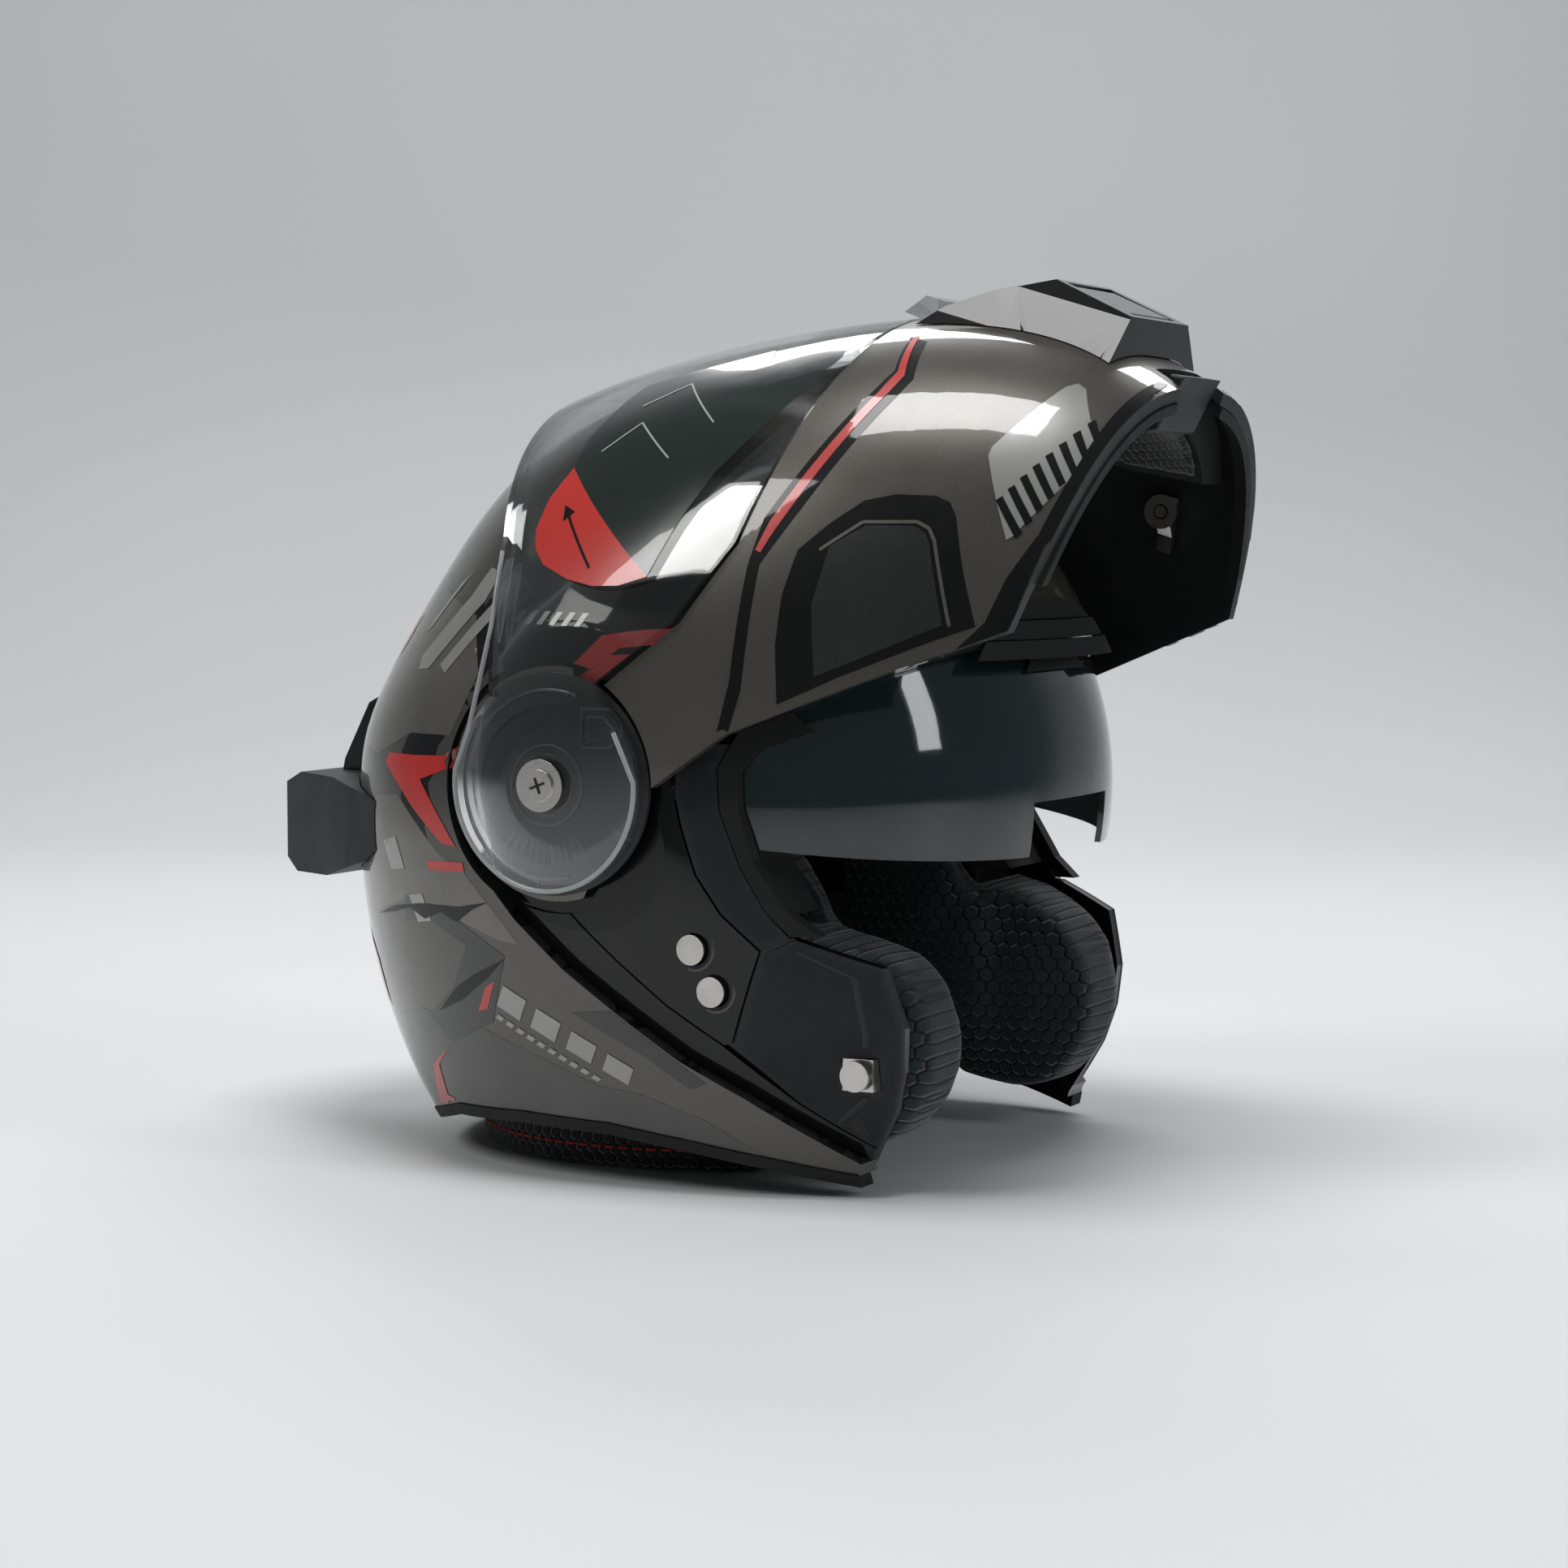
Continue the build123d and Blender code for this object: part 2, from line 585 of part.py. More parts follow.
# ---- assembly -----------------------------------------------------------------------------
fixed = {"outer_shell": make_outer_shell()}
fixed.update(make_side_pieces())
fixed["eyeport_gasket"] = make_gasket()
fixed["brow_trim"] = make_brow_trim()
fixed["lower_trim"] = make_lower_trim()
fixed["side_studs"] = make_studs()
fixed["striker_pins"] = make_striker_pins()
fixed["spoiler_base"], fixed["spoiler_wing"] = make_spoiler()
fixed["eps_liner"] = make_eps_liner()
fixed["crown_pad"] = make_crown_pad()
fixed["neck_roll"] = make_neck_roll()
fixed["visor_pins"] = make_visor_pins()
fixed["strap_anchors"] = make_strap_anchors()
for word, side in SIDES:
    fixed[f"cheek_pad_{word}"] = make_cheek_pad(side)
fixed["chin_strap_right"] = make_strap(-1, 28)
fixed["chin_strap_left"] = make_strap(1, 14)
fixed["buckle_housing"], fixed["buckle_tongue"], fixed["buckle_lever"] = make_buckle()
fixed["sun_visor"] = make_sun_visor()
fixed["slider_track"], fixed["visor_slider"] = make_slider()

raised = {"chin_bar_shell": make_chin_shell(), "chin_liner": make_chin_liner()}
raised["chin_curtain"] = make_chin_curtain()
raised["chin_edging"] = make_chin_edging()
raised["vent_housing"] = make_vent_housing()
raised["vent_flap"] = make_vent_flap()
raised["hinge_pins"] = make_hinge_pins()
raised["release_lever"] = make_release_lever()
raised["hook_pins"] = make_hook_pins()
raised["face_shield"] = make_face_shield()
raised["shield_screws"] = make_shield_screws()
for word, side in SIDES:
    raised[f"ratchet_plate_{word}"] = make_ratchet_plates(side)
    raised[f"latch_hook_{word}"] = make_latch_hook(side)

pivot_axis = Axis((PIVOT[0], 0, PIVOT[1]), (0, -1, 0))
nodes = dict(fixed)
for name, shape in raised.items():
    nodes[name] = shape.rotate(pivot_axis, CHIN_OPENING)

everything = [solid for shape in nodes.values() for solid in shape.solids()]
extent = Compound(children=everything).bounding_box()
SHIFT = (-(extent.min.X + extent.max.X) / 2, 0.0, -extent.min.Z)
print("shift", SHIFT, "size", extent.size)

os.makedirs("parts", exist_ok=True)
for name, shape in nodes.items():
    solids = [solid.moved(Location(SHIFT)) for solid in shape.solids()]
    export_step(solids[0] if len(solids) == 1 else Compound(children=solids), f"parts/{name}.step")
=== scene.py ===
import bmesh
import bpy
import json
import math
import random
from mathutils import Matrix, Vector
from mathutils.bvhtree import BVHTree
from mathutils.geometry import delaunay_2d_cdt


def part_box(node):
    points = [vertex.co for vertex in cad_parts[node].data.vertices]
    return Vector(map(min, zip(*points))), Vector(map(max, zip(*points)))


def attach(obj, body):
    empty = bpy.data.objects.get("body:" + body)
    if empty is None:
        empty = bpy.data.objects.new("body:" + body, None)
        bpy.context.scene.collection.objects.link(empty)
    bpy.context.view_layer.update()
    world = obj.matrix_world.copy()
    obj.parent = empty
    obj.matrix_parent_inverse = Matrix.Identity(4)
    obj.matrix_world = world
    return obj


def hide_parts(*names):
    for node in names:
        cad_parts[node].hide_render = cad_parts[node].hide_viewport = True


# Flip-up helmet in the CAD frame, metres. Side-view outlines are millimetres from the main
# pivot; those of the chin bar and the shield are drawn locked and turned up with them.
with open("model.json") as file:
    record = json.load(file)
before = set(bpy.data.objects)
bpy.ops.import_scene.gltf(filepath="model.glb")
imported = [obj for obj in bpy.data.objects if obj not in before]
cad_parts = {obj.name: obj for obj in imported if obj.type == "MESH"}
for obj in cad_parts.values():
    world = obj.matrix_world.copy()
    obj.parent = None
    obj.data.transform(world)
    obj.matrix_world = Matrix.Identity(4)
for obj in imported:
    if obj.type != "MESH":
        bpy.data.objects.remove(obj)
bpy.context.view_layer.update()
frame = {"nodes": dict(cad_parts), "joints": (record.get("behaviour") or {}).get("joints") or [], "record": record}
NODES = frame["nodes"]
JOINTS = {j["name"]: j for j in frame["joints"]}
PIVOT = Vector(JOINTS["chin_bar_hinge"]["pos_m"])
OPENING = math.radians(-JOINTS["chin_bar_hinge"]["range_deg"][0])
SIDES = (("right", -1), ("left", 1))
MM = 0.001
RAY_START, RAY_REACH = 0.2, 0.199      # sideways probe: from outside the helmet to just short of its middle
DECAL_MAX_EDGE = 0.009                 # a triangle longer than this bridges a gap in the surface
HEX_ROW = 0.8660254                    # half of the square root of three
HEAD_RADIUS = 0.078
VIEW_TURN, VIEW_DIP = 27, 4.08         # degrees
random.seed(7)


def at(x, y, z, turn=0.0):
    """Row point of a design point in mm, turned up about the pivot."""
    c, s = math.cos(turn), math.sin(turn)
    return PIVOT + Vector((x * c - z * s, y, x * s + z * c)) * MM


def link(o):
    bpy.context.scene.collection.objects.link(o)
    return o


def evaluated(o):
    """Mesh of the object with its modifiers applied."""
    bpy.context.view_layer.update()
    return bpy.data.meshes.new_from_object(o.evaluated_get(bpy.context.evaluated_depsgraph_get()))


def shade_smooth(me):
    me.polygons.foreach_set("use_smooth", [True] * len(me.polygons))


# ---- materials ----------------------------------------------------------------------------
def tree_of(name):
    mat = bpy.data.materials.new(name)
    mat.use_nodes = True
    nodes, links = mat.node_tree.nodes, mat.node_tree.links
    return mat, nodes, links, nodes["Principled BSDF"]


def noise(nodes, links, coord, scale, detail=3.0, rough=0.55):
    n = nodes.new("ShaderNodeTexNoise")
    n.inputs["Scale"].default_value = scale
    n.inputs["Detail"].default_value = detail
    n.inputs["Roughness"].default_value = rough
    links.new(coord, n.inputs["Vector"])
    return n.outputs["Fac"]


def ramp(nodes, links, fac, stops):
    r = nodes.new("ShaderNodeValToRGB")
    while len(r.color_ramp.elements) < len(stops):
        r.color_ramp.elements.new(0.5)
    for e, (p, c) in zip(r.color_ramp.elements, stops):
        e.position, e.color = p, (*c, 1.0)
    links.new(fac, r.inputs["Fac"])
    return r.outputs["Color"]


def span(nodes, links, fac, low, high, from_low=0.0, from_high=1.0):
    m = nodes.new("ShaderNodeMapRange")
    for key, v in zip(("From Min", "From Max", "To Min", "To Max"), (from_low, from_high, low, high)):
        m.inputs[key].default_value = v
    links.new(fac, m.inputs["Value"])
    return m.outputs["Result"]


def math_node(nodes, links, op, a, b=None, c=None):
    m = nodes.new("ShaderNodeMath")
    m.operation = op
    for k, v in enumerate((a, b, c)):
        if v is None:
            continue
        if isinstance(v, (int, float)):
            m.inputs[k].default_value = v
        else:
            links.new(v, m.inputs[k])
    return m.outputs[0]


def bump(nodes, links, heights, bsdf):
    """Stack of (height socket, strength, distance in metres)."""
    last = None
    for height, strength, distance in heights:
        b = nodes.new("ShaderNodeBump")
        b.inputs["Strength"].default_value = strength
        b.inputs["Distance"].default_value = distance
        links.new(height, b.inputs["Height"])
        if last is not None:
            links.new(last, b.inputs["Normal"])
        last = b.outputs["Normal"]
    links.new(last, bsdf.inputs["Normal"])
    return last


def finish_material(name, tint, rough=(0.3, 0.4), metal=0.0, coat=0.0, coat_rough=0.04, spread=0.12,
                    scale=60.0, grain=(0.0, 900.0), orange=0.0, specular=0.5, wear=0.0, flake=0.0):
    """Painted, moulded or machined surface: tint and gloss vary, with grain and edge wear."""
    mat, nodes, links, bsdf = tree_of(name)
    coord = nodes.new("ShaderNodeTexCoord").outputs["Object"]
    broad = noise(nodes, links, coord, scale)
    dark = tuple(v * (1 - spread) for v in tint)
    light = tuple(min(1.0, v * (1 + spread)) for v in tint)
    colour = ramp(nodes, links, broad, [(0.3, dark), (0.7, light)])
    if flake:
        speck = nodes.new("ShaderNodeTexVoronoi")
        speck.inputs["Scale"].default_value = 2600.0
        links.new(coord, speck.inputs["Vector"])
        mix = nodes.new("ShaderNodeMixRGB")
        mix.blend_type = "ADD"
        links.new(span(nodes, links, speck.outputs["Distance"], flake, 0.0, 0.0, 0.35), mix.inputs["Fac"])
        links.new(colour, mix.inputs["Color1"])
        mix.inputs["Color2"].default_value = (0.32, 0.3, 0.27, 1)
        colour = mix.outputs["Color"]
    if wear:
        geo = nodes.new("ShaderNodeNewGeometry")
        edge = ramp(nodes, links, geo.outputs["Pointiness"], [(0.5, (0, 0, 0)), (0.58, (1, 1, 1))])
        patchy = math_node(nodes, links, "MULTIPLY", edge, noise(nodes, links, coord, 420.0))
        mix = nodes.new("ShaderNodeMixRGB")
        links.new(math_node(nodes, links, "MULTIPLY", patchy, wear), mix.inputs["Fac"])
        links.new(colour, mix.inputs["Color1"])
        mix.inputs["Color2"].default_value = (*[min(1.0, v * 2.5 + 0.05) for v in tint], 1)
        colour = mix.outputs["Color"]
    links.new(colour, bsdf.inputs["Base Color"])
    fine = noise(nodes, links, coord, grain[1], 2.0)
    smear = noise(nodes, links, coord, 28.0, 6.0, 0.7)
    links.new(span(nodes, links, smear, rough[0], rough[1], 0.3, 0.7), bsdf.inputs["Roughness"])
    bsdf.inputs["Metallic"].default_value = metal
    bsdf.inputs["Specular IOR Level"].default_value = specular
    bsdf.inputs["Coat Weight"].default_value = coat
    bsdf.inputs["Coat Roughness"].default_value = coat_rough
    heights = []
    if grain[0]:
        heights.append((fine, grain[0], 0.0002))
    if orange:
        heights.append((noise(nodes, links, coord, 260.0, 1.0), orange, 0.0002))
    if heights:
        normal = bump(nodes, links, heights, bsdf)
        if coat and not grain[0]:
            links.new(normal, bsdf.inputs["Coat Normal"])
    return mat


def clear_material(name, tint, rough=0.02, body=0.0, ior=1.5, most=0.85):
    """Clear or tinted moulded sheet: reflects by Fresnel over a see-through body colour."""
    mat, nodes, links, bsdf = tree_of(name)
    coord = nodes.new("ShaderNodeTexCoord").outputs["Object"]
    broad = noise(nodes, links, coord, 14.0, 4.0, 0.6)
    links.new(ramp(nodes, links, broad, [(0.3, tint), (0.7, tuple(min(1, v * 1.2) for v in tint))]),
              bsdf.inputs["Base Color"])
    links.new(span(nodes, links, noise(nodes, links, coord, 40.0, 6.0, 0.7), rough, rough + 0.04, 0.3, 0.7),
              bsdf.inputs["Roughness"])
    edge = nodes.new("ShaderNodeFresnel")
    edge.inputs["IOR"].default_value = ior
    links.new(span(nodes, links, edge.outputs["Fac"], body + 0.02, most), bsdf.inputs["Alpha"])
    bsdf.inputs["Metallic"].default_value = 1.0 if body < 0.05 else 0.0
    bsdf.inputs["Specular IOR Level"].default_value = 0.6
    bsdf.inputs["Coat Weight"].default_value = 0.0 if body < 0.05 else 1.0
    bsdf.inputs["Coat Roughness"].default_value = 0.02
    return mat


def hex_height(nodes, links, coord, cell, plane):
    """Honeycomb height, one in the cells and falling to nothing on their borders."""
    sep = nodes.new("ShaderNodeSeparateXYZ")
    links.new(coord, sep.inputs[0])
    if plane == "xz":
        u, v = sep.outputs["X"], sep.outputs["Z"]
    elif plane == "yz":
        u, v = sep.outputs["Y"], sep.outputs["Z"]
    else:                                            # around the head
        turn = math_node(nodes, links, "ARCTAN2", sep.outputs["Y"], sep.outputs["X"])
        u, v = math_node(nodes, links, "MULTIPLY", turn, HEAD_RADIUS), sep.outputs["Z"]
    u = math_node(nodes, links, "DIVIDE", u, cell)
    v = math_node(nodes, links, "DIVIDE", v, cell)
    best = None
    for shift_u, shift_v in ((0.0, 0.0), (0.5, HEX_ROW)):
        a = math_node(nodes, links, "SUBTRACT",
                      math_node(nodes, links, "FLOORED_MODULO",
                                math_node(nodes, links, "ADD", u, shift_u), 1.0), 0.5)
        b = math_node(nodes, links, "SUBTRACT",
                      math_node(nodes, links, "FLOORED_MODULO",
                                math_node(nodes, links, "ADD", v, shift_v), 2 * HEX_ROW), HEX_ROW)
        a, b = (math_node(nodes, links, "ABSOLUTE", k) for k in (a, b))
        slant = math_node(nodes, links, "ADD", math_node(nodes, links, "MULTIPLY", a, 0.5),
                          math_node(nodes, links, "MULTIPLY", b, HEX_ROW))
        near = math_node(nodes, links, "MAXIMUM", a, slant)
        best = near if best is None else math_node(nodes, links, "MINIMUM", best, near)
    return span(nodes, links, best, 1.0, 0.0, 0.36, 0.47)


def fabric_material(name, tint, line, cell=0.0, plane="xz", weave=1400.0, sheen=0.35, depth=0.0006):
    """Knitted lining cloth, with a raised honeycomb mesh where cell is given."""
    mat, nodes, links, bsdf = tree_of(name)
    coord = nodes.new("ShaderNodeTexCoord").outputs["Object"]
    broad = noise(nodes, links, coord, 45.0, 4.0)
    low = tuple(v * 0.7 for v in tint)
    colour = ramp(nodes, links, broad, [(0.3, low), (0.75, tint)])
    threads = nodes.new("ShaderNodeTexVoronoi")
    threads.inputs["Scale"].default_value = weave
    links.new(coord, threads.inputs["Vector"])
    heights = [(threads.outputs["Distance"], 0.5, 0.0003)]
    if cell:
        raised = hex_height(nodes, links, coord, cell, plane)
        mix = nodes.new("ShaderNodeMixRGB")
        links.new(raised, mix.inputs["Fac"])
        mix.inputs["Color1"].default_value = (*line, 1)
        links.new(colour, mix.inputs["Color2"])
        colour = mix.outputs["Color"]
        heights.append((raised, 0.9, depth))
    links.new(colour, bsdf.inputs["Base Color"])
    links.new(span(nodes, links, broad, 0.72, 0.95), bsdf.inputs["Roughness"])
    bsdf.inputs["Sheen Weight"].default_value = sheen
    bsdf.inputs["Sheen Roughness"].default_value = 0.4
    bsdf.inputs["Specular IOR Level"].default_value = 0.25
    bump(nodes, links, heights, bsdf)
    return mat


PAINT = dict(coat=1.0, coat_rough=0.03, metal=0.5, rough=(0.3, 0.42), orange=0.05, flake=0.3, specular=0.3)
MATS = {
    "shell_paint": finish_material("shell_paint", (0.074, 0.070, 0.062), spread=0.08, scale=9.0, **PAINT),
    "chin_paint": finish_material("chin_paint", (0.086, 0.079, 0.069), spread=0.08, scale=9.0, **PAINT),
    "gloss_black": finish_material("gloss_black", (0.0035, 0.0035, 0.004), rough=(0.35, 0.5), coat=0.7,
                                   coat_rough=0.02, orange=0.04, specular=0.1),
    "matte_black": finish_material("matte_black", (0.009, 0.0095, 0.011), rough=(0.48, 0.62),
                                   grain=(0.35, 1500.0), wear=0.25, specular=0.35),
    "rubber_black": finish_material("rubber_black", (0.008, 0.008, 0.0085), rough=(0.55, 0.78),
                                    grain=(0.3, 1100.0), specular=0.35),
    "steel": finish_material("steel", (0.62, 0.6, 0.57), rough=(0.16, 0.3), metal=1.0, spread=0.06,
                             grain=(0.1, 2400.0), scale=200.0),
    "eps": finish_material("eps", (0.013, 0.013, 0.014), rough=(0.8, 0.95), grain=(0.8, 420.0)),
    "ratchet_plastic": finish_material("ratchet_plastic", (0.010, 0.011, 0.012), rough=(0.34, 0.5),
                                       grain=(0.2, 1300.0), wear=0.4),
    "red_plastic": finish_material("red_plastic", (0.42, 0.012, 0.01), rough=(0.3, 0.42),
                                   grain=(0.1, 1300.0)),
    "comfort_fabric": fabric_material("comfort_fabric", (0.016, 0.017, 0.018), (0.006, 0.006, 0.006),
                                      cell=0.0032, plane="xz", depth=0.0004),
    "cheek_fabric": fabric_material("cheek_fabric", (0.020, 0.031, 0.031), (0.004, 0.005, 0.005),
                                    cell=0.0048, plane="xz", depth=0.0010),
    "neck_fabric": fabric_material("neck_fabric", (0.02, 0.02, 0.021), (0.004, 0.004, 0.004),
                                   cell=0.0040, plane="around", depth=0.0009),
    "webbing": fabric_material("webbing", (0.014, 0.014, 0.015), (0.004, 0.004, 0.004), weave=900.0),
    "clear_shield": clear_material("clear_shield", (0.88, 0.90, 0.90)),
    "smoked_visor": clear_material("smoked_visor", (0.010, 0.022, 0.027), rough=0.04, body=0.72, most=0.97),
}
GRAPHIC = {
    "red": finish_material("graphic_red", (0.47, 0.014, 0.010), coat=1.0, spread=0.06, rough=(0.3, 0.42),
                           orange=0.05),
    "silver": finish_material("graphic_silver", (0.30, 0.30, 0.285), coat=1.0, spread=0.06, metal=0.35,
                              rough=(0.3, 0.42), orange=0.05),
    "black": finish_material("graphic_black", (0.0035, 0.0035, 0.004), coat=0.7, rough=(0.35, 0.5),
                             orange=0.05, specular=0.1),
    "slate": finish_material("graphic_slate", (0.016, 0.016, 0.017), coat=1.0, metal=0.3, rough=(0.3, 0.42),
                             orange=0.05, flake=0.2),
    "lower": finish_material("graphic_lower", (0.052, 0.050, 0.048), coat=1.0, metal=0.5, rough=(0.34, 0.46),
                             orange=0.05, flake=0.25),
    "taupe": finish_material("graphic_taupe", (0.125, 0.118, 0.102), coat=1.0, metal=0.5, rough=(0.3, 0.42),
                             orange=0.05, flake=0.3),
    "thread": finish_material("red_thread", (0.5, 0.02, 0.015), rough=(0.6, 0.8), grain=(0.5, 2000.0)),
}
FILM = clear_material("film_smoked", (0.010, 0.018, 0.015), rough=0.16, body=0.88, most=0.99)
FILM_RED = clear_material("film_red", (0.50, 0.030, 0.022), rough=0.2, body=0.93, most=0.99)
FILM_LINE = finish_material("film_line", (0.33, 0.36, 0.34), rough=(0.4, 0.5))
# Grey lighter than gloss black; on the stud rings it is a painted highlight in place of their dark gloss.
RIB = finish_material("hub_rib", (0.045, 0.047, 0.05), rough=(0.25, 0.4), coat=0.4)
BEAD = clear_material("shield_bead", (0.62, 0.66, 0.67), rough=0.06, body=0.35, most=0.9)

for node in frame["record"]["materials"]:
    for name in node.get("nodes", []):
        if name in NODES and node["slot"] in MATS:
            NODES[name].data.materials.clear()
            NODES[name].data.materials.append(MATS[node["slot"]])
for o in NODES.values():                              # anything the record doesn't name by slot
    if not o.data.materials or o.data.materials[0].name.split(".")[0] not in MATS:
        o.data.materials.clear()
        o.data.materials.append(MATS["matte_black"])
    else:
        own = MATS[o.data.materials[0].name.split(".")[0]]
        o.data.materials.clear()
        o.data.materials.append(own)


for name, width in (("vent_housing", 0.0022), ("spoiler_wing", 0.0022), ("spoiler_base", 0.0018),
                    ("release_lever", 0.0010), ("vent_flap", 0.0008), ("striker_pins", 0.0004),
                    ("side_studs", 0.0005), ("shield_screws", 0.0003), ("buckle_housing", 0.0006),
                    ("buckle_lever", 0.0005), ("buckle_tongue", 0.0004), ("visor_slider", 0.0005)):
    if name in NODES:
        weld = NODES[name].modifiers.new("weld", "WELD")
        weld.merge_threshold = 0.00002
        soft = NODES[name].modifiers.new("soft_edges", "BEVEL")
        soft.width, soft.segments, soft.limit_method = width, 3, "ANGLE"
        soft.angle_limit = math.radians(24)
        soft.harden_normals = True


# ---- making and placing pieces ------------------------------------------------------------
def piece(name, verts, faces, mat, body, smooth=True):
    me = bpy.data.meshes.new(name)
    me.from_pydata([tuple(v) for v in verts], [], faces)
    me.validate()
    me.materials.append(mat)
    if smooth:
        shade_smooth(me)
    o = link(bpy.data.objects.new(name, me))
    if body:
        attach(o, body)
    return o


TREES = {}


def tree(node):
    if node not in TREES:
        me = NODES[node].data
        TREES[node] = BVHTree.FromPolygons([v.co for v in me.vertices], [p.vertices for p in me.polygons])
    return TREES[node]


def within(x, z, outline):
    """Whether a point lies inside a side-view outline."""
    hit = False
    for (ax, az), (bx, bz) in zip(outline, outline[1:] + outline[:1]):
        if (az > z) != (bz > z) and x < (bx - ax) * (z - az) / (bz - az) + ax:
            hit = not hit
    return hit


def on_side(node, x, z, side, turn, lift):
    """Point of a node's outer face, lift mm above it, or None."""
    start = at(x, 0, z, turn) + Vector((0, side * RAY_START, 0))
    hit, normal, _, _ = tree(node).ray_cast(start, Vector((0, -side, 0)), RAY_REACH)
    if hit is None:
        return None
    if normal.y * side < 0:
        normal = -normal
    return hit + normal * lift * MM


def fill(outline, step):
    """Triangles over a flat outline, with its edges divided and points inside."""
    ring = []
    for (x0, z0), (x1, z1) in zip(outline, outline[1:] + outline[:1]):
        n = max(1, int(math.hypot(x1 - x0, z1 - z0) / step))
        ring += [Vector((x0 + (x1 - x0) * k / n, z0 + (z1 - z0) * k / n)) for k in range(n)]
    xs, zs = [p.x for p in ring], [p.y for p in ring]
    points = list(ring)
    z = min(zs) + step / 2
    row = 0
    while z < max(zs):
        x = min(xs) + step * (0.5 if row % 2 else 1.0)
        while x < max(xs):
            if within(x, z, ring) and min((p - Vector((x, z))).length for p in ring) > step * 0.4:
                points.append(Vector((x, z)))
            x += step
        z += step * 0.87
        row += 1
    got = delaunay_2d_cdt(points, [], [list(range(len(ring)))], 1, 1e-5)
    return got[0], got[2]


def decals(name, outlines, node, mat, body, turn=0.0, lift=0.12, step=3.0, sides=(-1, 1), slot=None):
    """Thin coloured film shaped by side-view outlines, laid on a CAD surface on both sides."""
    verts, faces = [], []
    for outline in outlines:
        flat, tris = fill(outline, step)
        for side in sides:
            index = {}
            for k, p in enumerate(flat):
                hit = on_side(node, p.x, p.y, side, turn, lift)
                if hit is not None:
                    index[k] = len(verts)
                    verts.append(hit)
            for t in tris:
                if all(k in index for k in t):
                    ids = [index[k] for k in t]
                    spread = max((verts[a] - verts[b]).length for a in ids for b in ids)
                    if spread < DECAL_MAX_EDGE:
                        faces.append(ids)
    o = piece(name, verts, faces, mat, body)
    bm = bmesh.new()
    bm.from_mesh(o.data)
    bmesh.ops.recalc_face_normals(bm, faces=bm.faces)
    for f in bm.faces:                                # outwards on both sides
        if f.normal.y * f.calc_center_median().y < 0:
            f.normal_flip()
    bm.to_mesh(o.data)
    bm.free()
    return o


def tube(name, points, radius, mat, body, closed=False, sides=8):
    """Round bead along points, as a mesh."""
    curve = bpy.data.curves.new(name, "CURVE")
    curve.dimensions = "3D"
    curve.bevel_depth = radius
    curve.bevel_resolution = max(1, sides // 4)
    curve.use_fill_caps = True
    spline = curve.splines.new("POLY")
    spline.points.add(len(points) - 1)
    for p, v in zip(spline.points, points):
        p.co = (*v, 1)
    spline.use_cyclic_u = closed
    holder = link(bpy.data.objects.new(name + "_line", curve))
    me = evaluated(holder)
    bpy.data.objects.remove(holder)
    me.name = name
    me.materials.clear()
    me.materials.append(mat)
    shade_smooth(me)
    o = link(bpy.data.objects.new(name, me))
    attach(o, body)
    return o


def merge(name, objs, body):
    """Join objects of one body into one piece."""
    bm = bmesh.new()
    mats = []
    for o in objs:
        for m in o.data.materials:
            if m not in mats:
                mats.append(m)
        first = len(bm.faces)
        bm.from_mesh(o.data)
        bm.faces.ensure_lookup_table()
        for f in bm.faces[first:]:
            f.material_index = mats.index(o.data.materials[f.material_index])
    me = bpy.data.meshes.new(name)
    bm.to_mesh(me)
    bm.free()
    for m in mats:
        me.materials.append(m)
    for o in objs:
        bpy.data.objects.remove(o)
    made = link(bpy.data.objects.new(name, me))
    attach(made, body)
    return made


def face_paint(node, choose):
    """Give faces of a CAD node further finishes: choose(centre, normal) returns one or None."""
    me = NODES[node].data
    for p in me.polygons:
        mat = choose(p.center, p.normal)
        if mat is not None:
            if mat.name not in me.materials:
                me.materials.append(mat)
            p.material_index = me.materials.find(mat.name)


RECESS = [(-28, -26), (-13, -43), (4, -58), (22, -71), (42, -85), (62, -96), (84, -110), (96, -118),
          (140, -118), (140, 60), (59, 18), (40, 14), (-20, 14)]


def shell_finish(centre, normal):
    """Gloss black in the hub pocket and the side recess, matte inside and underneath."""
    p = (centre - PIVOT) * 1000
    inward = normal.dot(Vector((p.x, p.y, p.z + 20))) < 0
    if abs(p.y) < 115.5 and math.hypot(p.x, p.z) < 64.5 and abs(p.y) > 100:
        return MATS["gloss_black"]
    if within(p.x, p.z, RECESS):
        return MATS["gloss_black"]
    return MATS["matte_black"] if inward or normal.z < -0.85 else None


def chin_finish(centre, normal):
    """Matte inside and underneath the chin bar, in its locked frame."""
    turn = Vector((math.cos(OPENING), 0, math.sin(OPENING)))
    up = Vector((-math.sin(OPENING), 0, math.cos(OPENING)))
    p = (centre - PIVOT) * 1000
    x, z = p.dot(turn), p.dot(up)
    inward = normal.dot(turn) * (x - 60) + normal.y * p.y + normal.dot(up) * (z + 60) < 0
    return MATS["matte_black"] if inward or (normal.dot(up) < -0.6 and z < -100) else None


face_paint("outer_shell", shell_finish)
face_paint("chin_bar_shell", chin_finish)


# ---- paint graphics -----------------------------------------------------------------------
def bar(a, b, width):
    """Slanted bar between two points."""
    (x0, z0), (x1, z1) = a, b
    length = math.hypot(x1 - x0, z1 - z0)
    nx, nz = -(z1 - z0) / length * width / 2, (x1 - x0) / length * width / 2
    return [(x0 + nx, z0 + nz), (x1 + nx, z1 + nz), (x1 - nx, z1 - nz), (x0 - nx, z0 - nz)]


